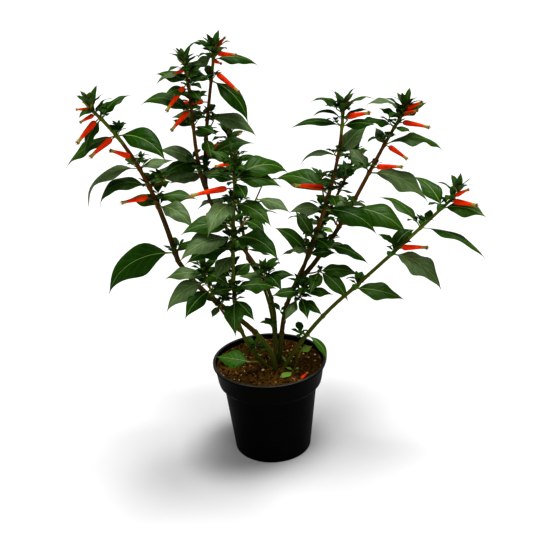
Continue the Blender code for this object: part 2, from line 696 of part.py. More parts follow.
class Plant:
    """Grows every limb first, then the leaves and flowers that have room."""

    def __init__(self):
        """Start with no limb grown."""
        self.paths = {}
        self.pieces = {}
        self.space = Space()

    def start_of(self, limb):
        """Return where a limb starts and the plane of its flat cut."""
        along = limb_direction(limb, 0)
        if not isinstance(limb.start[0], str):
            foot = Vector((limb.start[0] * MM, limb.start[1] * MM, SOIL_TOP + GAP))
            return foot, (foot, Vector((0, 0, 1)))
        parent, share = limb.start
        path = self.paths[parent]
        spot, axis = path.at(share)
        if share == 1:
            foot = spot + axis * GAP
            return foot, (foot, axis)
        normal = (along - axis * along.dot(axis)).normalized()
        foot = spot + along * ((path.radius(share) + GAP) / along.dot(normal))
        return foot, (foot, normal)

    def grow_limb(self, name, limb, sides, rings):
        """Grow one stem and take its room."""
        foot, plane = self.start_of(limb)
        path = Path(limb, foot)
        self.paths[name] = path
        shares = [i / (rings - 1) for i in range(rings)]
        spots = [path.at(s) for s in shares]
        piece = tube([p for p, _ in spots], [d for _, d in spots],
                     [path.radius(s) for s in shares], sides, plane)
        self.pieces[name] = [piece]
        self.space.add(name, *piece)

    def place_leaf(self, name, start, values, rng, swings=SWINGS, tilt=None, width=LEAF_WIDTH):
        """Add a leaf where it has room, swung aside if need be, or leave it out."""
        heading, length, rise = values[:3]
        droop = values[3] if len(values) > 3 else length * DROOP_PER_MM
        if tilt is None:
            tilt = values[4] if len(values) > 4 else SHOOTS[name].tilt
        width *= SHOOTS[name].broad
        roll = tilt * math.cos(math.radians(heading)) + rng.uniform(-ROLL_SPREAD, ROLL_SPREAD)
        for swing in swings:
            piece = leaf(start, heading + swing, length * MM, rise, droop, roll, width)
            if self.space.is_clear(name, *piece):
                self.pieces[name].append(piece)
                self.space.add(name, *piece)
                return

    def place_tuft(self, name, path, share, size, pairs, rng):
        """Add the small leaves round a tip, the inner pairs shorter and steeper."""
        turn = rng.uniform(0, 90)
        for j in range(pairs):
            start, _ = path.at(share - TUFT_STEP * (pairs - 1 - j))
            length = size * (1 - TUFT_SHRINK * j)
            rise = TUFT_RISE + TUFT_RISE_STEP * j
            for k in range(2):
                droop = TUFT_DROOP - TUFT_DROOP_STEP * j
                values = (turn + 90 * j + 180 * k, length, rise, droop)
                self.place_leaf(name, start, values, rng, TUFT_SWINGS, 0, TUFT_WIDTH)

    def place_twig(self, name, twig, rng):
        """Add a side twig with its leaves and end tuft, unless it has no room."""
        lean = 90 - twig.rise
        limb = Limb((0, 0), twig.length, (lean, lean + TWIG_BEND / 2, lean + TWIG_BEND),
                    (twig.heading, twig.heading), TWIG_RADII)
        path = Path(limb, self.paths[name].at(twig.at)[0], TWIG_RINGS)
        radii = [path.radius(i / (TWIG_RINGS - 1)) for i in range(TWIG_RINGS)]
        piece = tube(path.points, path.directions, radii, TWIG_SIDES)
        if not self.space.is_clear(name, *piece):
            return
        self.pieces[name].append(piece)
        self.space.add(name, *piece)
        for share, values in twig.leaves:
            self.place_leaf(name, path.at(share)[0], values, rng)
        self.place_tuft(name, path, 1, twig.tuft, TWIG_TUFT_PAIRS, rng)

    def grow_shoots(self):
        """Grow twigs, named leaves and flowers of all shoots, then what is set by rule."""
        for number, (name, shoot) in enumerate(SHOOTS.items()):
            rng = random.Random(SEED + number)
            for node in shoot.nodes:
                start, _ = self.paths[name].at(node.at)
                self.place_leaf(name, start, node.first, rng)
        for number, (name, shoot) in enumerate(SHOOTS.items()):
            for at, heading, rise, length in shoot.flowers:
                start, _ = self.paths[name].at(at)
                piece = flower(start, heading, rise, length * MM)
                if self.space.is_clear(name, *piece):
                    self.pieces[name].append(piece)
                    self.space.add(name, *piece)
        for number, (name, shoot) in enumerate(SHOOTS.items()):
            rng = random.Random(SEED * 7 + number)
            path = self.paths[name]
            for twig in shoot.twigs:
                self.place_twig(name, twig, rng)
            if shoot.tuft:
                self.place_tuft(name, path, TUFT_PLACE, shoot.tuft, TUFT_PAIRS, rng)
            for node in shoot.nodes:
                start, _ = path.at(node.at)
                mate = node.second
                if mate is None:
                    heading, length = node.first[:2]
                    heading += 180 + rng.uniform(-MATE_SPREAD, MATE_SPREAD)
                    mate = (heading, length * MATE_SIZE, rng.uniform(*MATE_RISE))
                if mate:
                    self.place_leaf(name, start, mate, rng)

    def grow(self):
        """Grow the whole plant."""
        for name, limb in BOUGHS.items():
            self.grow_limb(name, limb, BOUGH_SIDES, BOUGH_RINGS)
        for name, shoot in SHOOTS.items():
            rings = max(3, round(shoot.stem.length / SHOOT_RING_SPACING) + 1)
            self.grow_limb(name, shoot.stem, SHOOT_SIDES, rings)
        self.grow_shoots()


def join_pieces(name, pieces):
    """Fuse a shoot's pieces into one closed body with a single union."""
    if len(pieces) == 1:
        return add_object(name, *pieces[0])
    for solver in ("EXACT", "MANIFOLD"):
        body = add_object(name, *pieces[0])
        volume = unite(body, pieces[1:], solver)
        keep_largest(body)
        if closed_volume(body) > volume * LEAST_KEPT_VOLUME:
            return body
        bpy.data.objects.remove(body, do_unlink=True)
    raise RuntimeError(name + " did not fuse into one closed body")


def unite(body, pieces, solver):
    """Unite a body with all of the pieces at once, and return the volume that went in."""
    volume = closed_volume(body)
    group = bpy.data.collections.new(body.name + "_pieces")
    bpy.context.scene.collection.children.link(group)
    for i, (verts, faces) in enumerate(pieces):
        piece = add_object(f"{body.name}_piece_{i:03d}", verts, faces)
        bpy.context.scene.collection.objects.unlink(piece)
        group.objects.link(piece)
        volume += closed_volume(piece)
    union = body.modifiers.new("union", "BOOLEAN")
    union.operation = "UNION"
    union.solver = solver
    union.operand_type = "COLLECTION"
    union.collection = group
    apply_modifier(body, union)
    for piece in list(group.objects):
        bpy.data.objects.remove(piece, do_unlink=True)
    bpy.data.collections.remove(group)
    return volume


def closed_volume(obj):
    """Return the volume of an object's mesh, or 0 if it isn't closed."""
    shape = bmesh.new()
    shape.from_mesh(obj.data)
    closed = all(edge.is_manifold for edge in shape.edges)
    volume = shape.calc_volume() if closed else 0
    shape.free()
    return volume


def keep_largest(body):
    """Keep the largest closed shell, so no scrap or sealed hollow is left."""
    shape = bmesh.new()
    shape.from_mesh(body.data)
    shape.verts.ensure_lookup_table()
    seen = set()
    shells = []
    for vert in shape.verts:
        if vert.index in seen:
            continue
        shell = []
        queue = [vert]
        seen.add(vert.index)
        while queue:
            at = queue.pop()
            shell.append(at)
            for edge in at.link_edges:
                near = edge.other_vert(at)
                if near.index not in seen:
                    seen.add(near.index)
                    queue.append(near)
        shells.append(shell)
    shells.sort(key=len)
    for shell in shells[:-1]:
        bmesh.ops.delete(shape, geom=shell, context="VERTS")
    shape.to_mesh(body.data)
    shape.free()


def main():
    """Build the pot, the soil, the bare stems and the leafy shoots."""
    clear_scene()
    pot = make_pot()
    soil = make_soil()
    plant = Plant()
    for obj in (pot, soil):
        faces = [tuple(face.vertices) for face in obj.data.polygons]
        plant.space.add(obj.name, [vert.co.copy() for vert in obj.data.vertices], faces)
    plant.grow()
    pot.data.materials.append(material("pot_plastic", BLACK_PLASTIC))
    soil.data.materials.append(material("soil_damp", DAMP_SOIL))
    for obj in (pot, soil):
        for face in obj.data.polygons:
            face.use_smooth = True
        obj.data.set_sharp_from_angle(angle=math.radians(POT_EDGE_ANGLE))
    for name, pieces in plant.pieces.items():
        body = join_pieces(name, pieces)
        finish = BROWN_STEM if name in BOUGHS else GREEN_LEAF
        body.data.materials.clear()
        body.data.materials.append(material(name + "_finish", finish))
        if name in BOUGHS:
            for face in body.data.polygons:
                face.use_smooth = True
            body.data.set_sharp_from_angle(angle=math.radians(ROUND_EDGE_ANGLE))


main()
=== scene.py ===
"""Looks of a cuphea plant in bloom, in the round plastic pot that it is sold in.

Metres and degrees where nothing else is said, with +Z up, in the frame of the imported
solids, with the plant's front at -Y. The growth tables are in millimetres and degrees,
as in the source of the solids, and the rule that grows limbs, leaves and flowers from
them is written again here.
"""
import logging
import math
import random
from dataclasses import dataclass, field
from enum import Enum
from typing import Sequence

import bpy
import numpy as np
from mathutils import Matrix, Vector, noise


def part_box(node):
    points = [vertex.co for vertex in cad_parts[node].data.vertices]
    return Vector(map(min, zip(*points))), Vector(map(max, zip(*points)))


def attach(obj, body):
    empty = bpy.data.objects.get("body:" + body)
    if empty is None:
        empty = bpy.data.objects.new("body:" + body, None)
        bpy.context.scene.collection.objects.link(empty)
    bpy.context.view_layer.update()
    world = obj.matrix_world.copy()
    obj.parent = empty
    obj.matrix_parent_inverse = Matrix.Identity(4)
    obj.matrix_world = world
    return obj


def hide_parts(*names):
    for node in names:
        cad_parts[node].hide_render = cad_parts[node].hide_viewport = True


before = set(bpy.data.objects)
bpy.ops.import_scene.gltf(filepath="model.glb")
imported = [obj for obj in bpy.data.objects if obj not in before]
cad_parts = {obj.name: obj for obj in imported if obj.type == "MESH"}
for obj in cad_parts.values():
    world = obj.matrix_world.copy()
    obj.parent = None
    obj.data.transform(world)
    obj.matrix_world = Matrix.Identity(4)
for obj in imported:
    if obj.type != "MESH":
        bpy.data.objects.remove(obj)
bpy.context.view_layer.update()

log = logging.getLogger("cuphea")

Array = np.ndarray
Colour = tuple[float, float, float]
Float2 = tuple[float, float]
Piece = bpy.types.Object
Random = random.Random
Socket = bpy.types.NodeSocket
COLOUR_SOCKET = "NodeSocketColor"
FLOAT_SOCKET = "NodeSocketFloat"
MM = 0.001
BODY = "root"
SEED = 41
RULE_SEED = SEED * 7


# Growth tables

@dataclass(frozen=True)
class Limb:
    """One stem, in millimetres and degrees.

    Attributes:
        start: (x, y) on the soil, or the limb it grows from and the share of that limb.
        length: the length along the stem.
        lean: the angle from upright at the foot, the middle and the tip.
        heading: the way it leans, from +X, at the foot and the tip.
        radius: the radius at the foot and the tip.
    """

    start: tuple
    length: float
    lean: tuple[float, float, float]
    heading: Float2
    radius: Float2


@dataclass(frozen=True)
class Node:
    """A joint of a shoot, with a pair of leaves.

    Attributes:
        at: the share of the shoot's length.
        first: heading, length and rise of a leaf, and its own droop and tilt if they differ.
        second: the same of the opposite leaf, None to set it by rule, or () for none.
    """

    at: float
    first: tuple
    second: tuple | None = None


@dataclass(frozen=True)
class Twig:
    """A short side twig that ends in a tuft.

    Attributes:
        at: the share of the shoot's length.
        heading: the way it points, from +X.
        rise: the angle over the level at which it starts.
        length: the twig's length.
        tuft: the length of the tuft's outer leaves.
        leaves: pairs of a share of the twig's length and a leaf.
    """

    at: float
    heading: float
    rise: float
    length: float
    tuft: float = 20
    leaves: tuple = ()


LEAF_TILT = 34.0
LEAF_BOW = 1.15
LEAF_CURL = 1.3


@dataclass(frozen=True)
class Shoot:
    """A leafy shoot.

    Attributes:
        stem: the limb that carries it.
        nodes: its joints with leaves, from the foot up.
        flowers: share of the stem, heading, rise and length of each flower.
        twigs: its side twigs.
        tuft: the length of the outer leaves at its tip, or 0 for none.
        tilt: how far its blades face the front.
        broad: how broad its blades are against the usual ones.
    """

    stem: Limb
    nodes: tuple[Node, ...]
    flowers: tuple = ()
    twigs: tuple[Twig, ...] = ()
    tuft: float = 32
    tilt: float = LEAF_TILT
    broad: float = 1.0


BOUGHS = {
    "stem_front": Limb((-2, -12), 100, (38, 26, 10), (202, 245), (2.1, 1.9)),
    "stem_left": Limb((7, -19), 175, (4, 47, 35), (212, 146), (2.5, 2.3)),
    "stem_back_left": Limb((6, -9), 240, (4, 50, 0), (65, 192), (2.1, 1.9)),
    "stem_right": Limb((10, -1), 108, (14, 12, 49), (25, 14), (2.5, 2.3)),
    "stem_far_right": Limb((15, -19), 123, (29, 38, 47), (360, 345), (1.9, 1.7)),
    "stem_rear": Limb((7, 8), 125, (10, 38, 52), (84, 132), (1.8, 1.6)),
    "stem_rear_right": Limb((13, 9), 128, (23, 42, 52), (80, 44), (1.9, 1.7)),
}

SHOOTS = {
    "leaves_front": Shoot(
        stem=Limb(("stem_front", 1), 194, (19, 19, 9), (270, 296), (1.9, 1.4)),
        nodes=(
            Node(0.04, (270, 54, 5), ()), Node(0.06, (310, 36, -10), ()),
            Node(0.14, (15, 50, 12), (200, 30, 10)), Node(0.22, (150, 44, 20), (60, 40, 20)),
            Node(0.38, (245, 44, 5), (80, 46, 20)), Node(0.43, (200, 54, 15), ()),
            Node(0.49, (215, 68, 24), (320, 66, 28, 80)), Node(0.57, (195, 56, 25), (110, 40, 20)),
            Node(0.72, (245, 64, 15), (325, 48, 0)), Node(0.84, (290, 34, 0), ()),
            Node(0.85, (5, 48, 12, 50), (165, 28, 22)), Node(0.87, (25, 64, 28, 70), ()),
            Node(0.93, (165, 30, 45), (300, 22, 15)),
        ),
        flowers=((0.81, 186, 0, 42), (0.945, 205, 8, 20)),
        twigs=(Twig(0.5, 60, 20, 74, 24, ((0.35, (310, 34, 5)), (0.75, (330, 42, 5)))),),
        tuft=20,
    ),
    "leaves_low_left": Shoot(
        stem=Limb(("stem_front", 0.61), 92, (38, 24, 10), (205, 215), (1.5, 1.1)),
        nodes=(
            Node(0.45, (250, 22, 0), (330, 28, 0)), Node(0.7, (228, 46, -4), (20, 34, 10)),
            Node(0.82, (194, 56, -6), ()), Node(0.92, (310, 42, 15), (180, 44, 15)),
        ),
        flowers=((0.97, 270, 20, 12),),
        tuft=22,
    ),
    "leaves_left": Shoot(
        stem=Limb(("stem_left", 1), 194, (12, 21, 43), (201, 202), (2.5, 1.4)),
        nodes=(
            Node(0.05, (178, 97, 2, 66), (40, 40, 20)), Node(0.34, (322, 54, 14, 70)),
            Node(0.39, (5, 46, 15), ()), Node(0.46, (188, 68, 34, 105, 15), (60, 40, 10)),
            Node(0.58, (190, 80, 12, 95, 5), (30, 40, 20)),
            Node(0.8, (330, 66, 10), (186, 64, -8, 42, 10)),
            Node(0.92, (25, 40, 58, 55, 10), (215, 40, -35, 40, 20)),
        ),
        flowers=(
            (0.4, 190, 2, 34), (0.8, 217, -20, 35), (0.645, 222, 35, 30), (0.93, 228, -25, 36),
            (0.955, 225, -5, 20), (0.99, 205, 15, 15),
        ),
        twigs=(Twig(0.47, 355, 5, 16, 24), Twig(0.6, 70, 25, 10, 12), Twig(0.81, 60, 25, 7, 15)),
        tuft=34,
    ),
    "leaves_back_left": Shoot(
        stem=Limb(("stem_back_left", 0.94), 158, (36, 4, 16), (248, 242), (2.2, 1.4)),
        nodes=(
            Node(0.2, (185, 66, 20), (330, 36, 10)), Node(0.27, (165, 52, 40), ()),
            Node(0.55, (130, 40, 20), (325, 34, 5)), Node(0.64, (178, 63, 52, 78, 15), ()),
            Node(0.71, (60, 24, 40), (300, 24, 5)), Node(0.82, (222, 36, 12), (300, 30, -5)),
            Node(0.87, (165, 38, 30), (20, 24, 20)), Node(0.92, (185, 38, 20, 70, 0), (40, 24, 30)),
        ),
        flowers=((0.95, 215, 5, 16), (0.865, 226, -30, 41), (0.68, 228, -22, 36)),
        twigs=(Twig(0.68, 20, 30, 7, 14),),
        tuft=32,
    ),
    "leaves_tall": Shoot(
        stem=Limb(("stem_back_left", 1), 150, (1, 10, 13), (17, 44), (2.2, 1.5)),
        nodes=(
            Node(0.05, (195, 44, 15), (20, 40, 20)), Node(0.16, (213, 60, 20), (10, 64, 45)),
            Node(0.34, (100, 50, 20), (280, 40, 0)), Node(0.5, (355, 62, 5), (170, 44, 20)),
            Node(0.78, (335, 66, -20, 55), (168, 34, 25)), Node(0.93, (12, 54, 12), ()),
            Node(0.96, (205, 34, -10, 40), ()), Node(0.985, (188, 42, 65, 130, -10), ()),
        ),
        flowers=(
            (0.97, 340, 5, 26), (0.92, 300, 5, 18), (0.85, 325, -25, 40), (0.99, 350, 55, 20),
            (0.62, 192, 8, 36), (0.21, 315, 45, 30),
        ),
        twigs=(Twig(0.4, 20, 40, 14, 20),),
        tuft=34,
    ),
    "leaves_centre": Shoot(
        stem=Limb(("stem_back_left", 0.42), 27, (60, 40, 30), (275, 255), (1.0, 0.7)),
        nodes=(Node(0.55, (160, 34, 10), (350, 36, 20)), Node(0.85, (300, 40, 5), (90, 30, 10)),),
        tuft=22,
    ),
    "leaves_right": Shoot(
        stem=Limb(("stem_right", 0.93), 199, (20, 17, 2), (359, 325), (2.2, 1.5)),
        nodes=(
            Node(0.14, (170, 50, 60, 40), (12, 34, 10)), Node(0.17, (220, 30, 25), ()),
            Node(0.24, (125, 42, 50, 30), (300, 34, 10)), Node(0.42, (343, 67, 6), (190, 40, 20)),
            Node(0.51, (150, 72, 40), (280, 34, 10)), Node(0.6, (35, 40, 25), (230, 30, 20)),
            Node(0.73, (190, 48, 40, 95, -10), (20, 50, 55, 30)),
            Node(0.9, (172, 56, 22, 48, 5), (340, 36, 20)),
            Node(0.97, (182, 40, 65, 85, 0), (5, 40, 62, 85, 0)),
        ),
        flowers=((0.94, 325, 22, 32), (0.98, 5, 70, 14), (0.545, 190, 18, 40)),
        twigs=(Twig(0.45, 95, 25, 36, 22), Twig(0.6, 45, -10, 22, 22), Twig(0.15, 95, 30, 44, 22)),
        tuft=34,
    ),
    "leaves_back_right": Shoot(
        stem=Limb(("stem_right", 1), 222, (49, 36, 48), (20, 37), (2.6, 1.6)),
        nodes=(
            Node(0.2, (340, 53, 0, 45, 10), (110, 40, 20)), Node(0.31, (230, 20, 50), (60, 40, 10)),
            Node(0.42, (333, 76, 6, 55), (130, 44, 20)),
            Node(0.62, (355, 78, -4, 50, 35), (125, 44, 45, 30)),
            Node(0.775, (5, 76, 24, 70, -5), (105, 30, 45, 30)),
            Node(0.88, (183, 52, 38, 75, 5), (305, 26, 10)), Node(0.93, (150, 28, 35), (0, 36, 45)),
            Node(0.97, (188, 50, 52, 75, 0), ()),
        ),
        flowers=(
            (0.98, 315, 35, 26), (0.95, 310, 28, 24), (0.91, 325, 3, 38), (0.78, 330, -22, 30),
            (0.645, 330, 14, 36),
        ),
        twigs=(
            Twig(0.02, 345, 5, 18, 10,
                 ((0.9, (318, 50, -12, 45)), (0.92, (250, 40, 0)), (0.8, (355, 50, 15)))),
        ),
        tuft=34,
    ),
    "leaves_low_right": Shoot(
        stem=Limb(("stem_right", 0.64), 34, (60, 40, 20), (320, 330), (1.1, 0.8)),
        nodes=(
            Node(0.5, (330, 34, -10), (235, 32, -15)), Node(0.66, (285, 32, -20), ()),
            Node(0.85, (5, 36, 5), (190, 36, 15)),
        ),
        tuft=26,
    ),
    "leaves_far_right": Shoot(
        stem=Limb(("stem_far_right", 1), 162, (45, 44, 43), (348, 343), (1.7, 1.2)),
        nodes=(
            Node(0.04, (345, 57, 4, 30), ()), Node(0.4, (325, 68, 2, 60), (45, 46, 50, 60)),
            Node(0.66, (322, 78, 5, 40, -25), (135, 62, 52, 60, -15)),
            Node(0.85, (322, 50, 18, 40, 45), (125, 50, 55, 50)),
        ),
        flowers=((0.45, 320, 20, 36), (0.95, 315, 40, 20), (0.91, 315, 10, 32)),
        twigs=(Twig(0.06, 60, 15, 8, 16), Twig(0.66, 70, 25, 7, 14)),
        tuft=28,
    ),
    "leaves_rim_right": Shoot(
        stem=Limb(("stem_far_right", 0.39), 7, (60, 50, 45), (300, 320), (1.1, 0.9)),
        nodes=(Node(0.6, (322, 40, -12, 76), (150, 18, 20)),),
        tuft=0,
        broad=0.6,
    ),
    "leaves_rear": Shoot(
        stem=Limb(("stem_rear", 1), 150, (25, 18, 10), (108, 112), (1.9, 1.2)),
        nodes=(
            Node(0.08, (140, 60, 10), (330, 36, 10)), Node(0.26, (60, 62, 10), (240, 36, 20)),
            Node(0.35, (190, 54, 15), (20, 50, 15)), Node(0.44, (150, 64, 15), (340, 44, 20)),
            Node(0.62, (75, 60, 15), (255, 30, 20)), Node(0.7, (200, 48, 20), (35, 48, 20)),
            Node(0.78, (160, 52, 20), (345, 40, 20)), Node(0.9, (80, 40, 30), (250, 30, 30)),
        ),
        flowers=((0.84, 100, 0, 30), (0.95, 60, 10, 28)),
        twigs=(Twig(0.3, 110, 30, 30, 22),),
        tuft=30,
        tilt=-LEAF_TILT,
    ),
    "leaves_rear_right": Shoot(
        stem=Limb(("stem_rear_right", 1), 134, (30, 32, 20), (40, 8), (1.9, 1.3)),
        nodes=(
            Node(0.08, (20, 58, 10), (190, 40, 10)), Node(0.28, (110, 62, 10), (290, 34, 20)),
            Node(0.37, (70, 54, 10), (250, 30, 20)), Node(0.46, (30, 62, 15), (200, 40, 20)),
            Node(0.64, (120, 60, 15), (300, 30, 20)), Node(0.72, (75, 46, 20), ()),
            Node(0.8, (40, 50, 20), (215, 36, 20)), Node(0.92, (130, 36, 30), (310, 28, 30)),
        ),
        flowers=((0.82, 80, 0, 30), (0.95, 60, 5, 28)),
        tuft=30,
        tilt=-LEAF_TILT,
    ),
    "leaves_foot": Shoot(
        stem=Limb((2, -5), 25, (60, 88, 86), (178, 174), (1.0, 0.8)),
        nodes=(Node(0.97, (164, 42, 8, 8, 36), ()),),
        tuft=0,
        broad=1.6,
    ),
    "leaves_foot_right": Shoot(
        stem=Limb((26, -27), 28, (30, 34, 36), (45, 52), (0.8, 0.7)),
        nodes=(Node(0.85, (28, 18, 25, 30), ()),),
        tuft=0,
        broad=1.3,
    ),
}

# Small sprigs low on the stems: the stem, the share of its length and the heading.
FOOT_SPRIGS = (
    ("stem_front", 0.32, 40), ("stem_front", 0.3, 250), ("stem_back_left", 0.17, 190),
    ("stem_far_right", 0.38, 170), ("stem_right", 0.55, 200))

# Seedlings in the soil: x, y and height over the soil of each stalk's foot in
# millimetres, and the leaf's heading, length, rise, droop and breadth.
SEEDLINGS = (
    (25, -27, 1, 222, 17, 12, 30, 1.6), (26, -25, 1, 150, 11, 35, 40, 0.9),
    (27, -24, 1, 20, 8, 40, 60, 0.9), (20, -8, 1, 125, 13, 50, 30, 0.7),
    (14, 8, 2, 130, 12, 55, 50, 1.3), (-8, 12, 2, 250, 14, 60, 80, 0.8))

# The flower that has fallen on the soil: x, y and height over the soil, heading, rise, length.
FALLEN_FLOWER = (33, -49, 2.2, 60, 8, 17)

# Which tints the leaves of a shoot are dealt, as tints and their weights. The shoots
# that aren't named here have those of USUAL_TINTS.
# Part of the leaves are dealt the painted sheen.
USUAL_TINTS = {"DARK": 0.4, "GREY": 0.35, "DEEP": 0.25}
# The rear leaves are also dealt the painted backlight.
REAR_TINTS = {"DARK": 0.3, "GREY": 0.2, "DEEP": 0.25, "BRIGHT": 0.25}
# The low leaves at the foot and on the rim get the fresh green with painted light from above.
TINTS = {
    "leaves_rear": REAR_TINTS, "leaves_rear_right": REAR_TINTS, "leaves_foot": {"FRESH": 1.0},
    "leaves_rim_right": {"FRESH": 1.0}, "leaves_foot_right": {"PALE": 1.0}}


# Node groups and finishes

class Wiring:
    """Adds nodes to one node tree and joins them up."""

    def __init__(self, tree: bpy.types.NodeTree) -> None:
        """Keep the tree that the nodes go into."""
        self.tree = tree

    def node(self, kind: str, feeds: dict | None = None, **settings: object) -> bpy.types.Node:
        """Add a node.

        Args:
            kind: the node's type.
            feeds: what its inputs get, as numbers, colours or sockets.
            settings: values of the node's own settings.

        Returns:
            The new node.
        """
        made = self.tree.nodes.new(kind)
        for key, value in settings.items():
            setattr(made, key, value)
        for key, value in (feeds or {}).items():
            self.feed(made.inputs[key], value)
        return made

    def feed(self, socket: Socket, value: object) -> None:
        """Link a socket to another one, or set its plain value."""
        if isinstance(value, Socket):
            self.tree.links.new(value, socket)
        else:
            socket.default_value = value

    def maths(self, operation: str, *values: object) -> Socket:
        """Add a Math node with these terms, as numbers or sockets, and return its result."""
        return self.node("ShaderNodeMath", dict(enumerate(values)), operation=operation).outputs[0]

    def times(self, first: object, second: object) -> Socket:
        """Multiply two numbers or sockets."""
        return self.maths("MULTIPLY", first, second)

    def mix(self, share: object, first: object, second: object) -> Socket:
        """Return the first colour mixed with this share of the second one."""
        feeds = {"Factor": share, 6: first, 7: second}
        return self.node("ShaderNodeMix", feeds, data_type="RGBA").outputs[2]

    def ramp(self, value: object, low: float, high: float) -> Socket:
        """Stretch a value so that low becomes 0 and high becomes 1."""
        feeds = {"Value": value, "From Min": low, "From Max": high}
        return self.node("ShaderNodeMapRange", feeds, clamp=True).outputs["Result"]

    def noise(self, place: Socket, scale: object, detail: float = 2.0) -> Socket:
        """Return noise with this scale and detail at a place."""
        feeds = {"Vector": place, "Scale": scale, "Detail": detail}
        return self.node("ShaderNodeTexNoise", feeds).outputs["Fac"]

    def group(self, effect: "Effect", values: dict) -> bpy.types.NodeOutputs:
        """Add a shared node group fed with these values, and return its outputs."""
        return self.node("ShaderNodeGroup", values, node_tree=effect.tree()).outputs


class Effect(Enum):
    """Shader node groups that several finishes share."""

    MOTTLE = "mottle"
    VEINS = "veins"
    RIBS = "ribs"

    def tree(self) -> bpy.types.NodeTree:
        """Return the group's tree, building it the first time."""
        made = bpy.data.node_groups.get(self.value)
        if made is None:
            made = bpy.data.node_groups.new(self.value, "ShaderNodeTree")
            {Effect.MOTTLE: build_mottle, Effect.VEINS: build_veins, Effect.RIBS: build_ribs}[self](made)
        return made


def open_group(tree: bpy.types.NodeTree, inputs: dict[str, object],
               outputs: dict[str, str]) -> tuple[Wiring, bpy.types.NodeOutputs]:
    """Give a group its sockets.

    Args:
        tree: the group's tree.
        inputs: each input's name and its value at the start.
        outputs: each output's name and its kind of socket.

    Returns:
        The wiring of the group, and what comes in by its inputs.
    """
    for name, value in inputs.items():
        kind = COLOUR_SOCKET if isinstance(value, tuple) else FLOAT_SOCKET
        tree.interface.new_socket(name, in_out="INPUT", socket_type=kind).default_value = value
    for name, kind in outputs.items():
        tree.interface.new_socket(name, in_out="OUTPUT", socket_type=kind)
    wires = Wiring(tree)
    return wires, wires.node("NodeGroupInput").outputs


def build_mottle(tree: bpy.types.NodeTree) -> None:
    """Patches of a second colour, and fine grain, fixed to the object's own space."""
    patch_edges = (0.38, 0.62)
    wires, given = open_group(
        tree,
        {"Colour": (0.5, 0.5, 0.5, 1.0), "Second": (0.4, 0.4, 0.4, 1.0), "Amount": 0.5,
         "Patch Scale": 60.0, "Grain Scale": 900.0, "Roughness": 0.5, "Spread": 0.1},
        {"Colour": COLOUR_SOCKET, "Roughness": FLOAT_SOCKET, "Height": FLOAT_SOCKET})
    space = wires.node("ShaderNodeTexCoord").outputs["Object"]
    patches = wires.noise(space, given["Patch Scale"], 3.0)
    grain = wires.noise(space, given["Grain Scale"])
    share = wires.times(wires.ramp(patches, *patch_edges), given["Amount"])
    swing = wires.maths("SUBTRACT", grain, 0.5)
    wires.node("NodeGroupOutput", {
        "Colour": wires.mix(share, given["Colour"], given["Second"]),
        "Roughness": wires.maths("MULTIPLY_ADD", swing, given["Spread"], given["Roughness"]),
        "Height": grain})


def build_veins(tree: bpy.types.NodeTree) -> None:
    """Side veins that run out and forward from a leaf's midrib, read from its UV map."""
    bow_power, line_power, groove_power, fade_power = 0.75, 9.0, 2.0, 3.0
    wander, wander_scale = 0.12, 90.0
    wires, given = open_group(
        tree,
        {"Blade": (0.03, 0.08, 0.02, 1.0), "Vein": (0.1, 0.2, 0.05, 1.0), "Strength": 0.5,
         "Count": 7.0, "Slant": 0.3},
        {"Colour": COLOUR_SOCKET, "Height": FLOAT_SOCKET})
    space = wires.node("ShaderNodeTexCoord").outputs
    split = wires.node("ShaderNodeSeparateXYZ", {0: space["UV"]}).outputs
    side = wires.maths("ABSOLUTE", wires.maths("MULTIPLY_ADD", split["Y"], 2.0, -1.0))
    slant = wires.times(wires.maths("POWER", side, bow_power), given["Slant"])
    place = wires.maths("SUBTRACT", split["X"], slant)
    swing = wires.maths("SUBTRACT", wires.noise(space["Object"], wander_scale), 0.5)
    place = wires.maths("MULTIPLY_ADD", swing, wander, place)
    turns = wires.times(wires.times(place, given["Count"]), math.tau)
    crest = wires.maths("MULTIPLY_ADD", wires.maths("COSINE", turns), 0.5, 0.5)
    fade = wires.maths("SUBTRACT", 1.0, wires.maths("POWER", side, fade_power))
    line = wires.times(wires.maths("POWER", crest, line_power), fade)
    groove = wires.times(wires.maths("POWER", crest, groove_power), fade)
    wires.node("NodeGroupOutput", {
        "Colour": wires.mix(wires.times(line, given["Strength"]), given["Blade"], given["Vein"]),
        "Height": wires.maths("SUBTRACT", 1.0, groove)})


def build_ribs(tree: bpy.types.NodeTree) -> None:
    """Fine streaks along a stem, read from its UV map."""
    streak_edges = (0.35, 0.7)
    wires, given = open_group(
        tree,
        {"Colour": (0.1, 0.05, 0.02, 1.0), "Streak": (0.2, 0.1, 0.05, 1.0), "Amount": 0.5,
         "Around": 26.0, "Along": 60.0},
        {"Colour": COLOUR_SOCKET, "Height": FLOAT_SOCKET})
    space = wires.node("ShaderNodeTexCoord").outputs
    split = wires.node("ShaderNodeSeparateXYZ", {0: space["UV"]}).outputs
    turn = wires.times(split["X"], math.tau)
    reach = wires.times(given["Around"], 1 / math.tau)
    spot = wires.node("ShaderNodeCombineXYZ", {
        0: wires.times(wires.maths("COSINE", turn), reach),
        1: wires.times(wires.maths("SINE", turn), reach),
        2: wires.times(split["Y"], given["Along"])})
    streaks = wires.noise(spot.outputs[0], 1.0, 3.0)
    share = wires.times(wires.ramp(streaks, *streak_edges), given["Amount"])
    wires.node("NodeGroupOutput", {
        "Colour": wires.mix(share, given["Colour"], given["Streak"]), "Height": streaks})


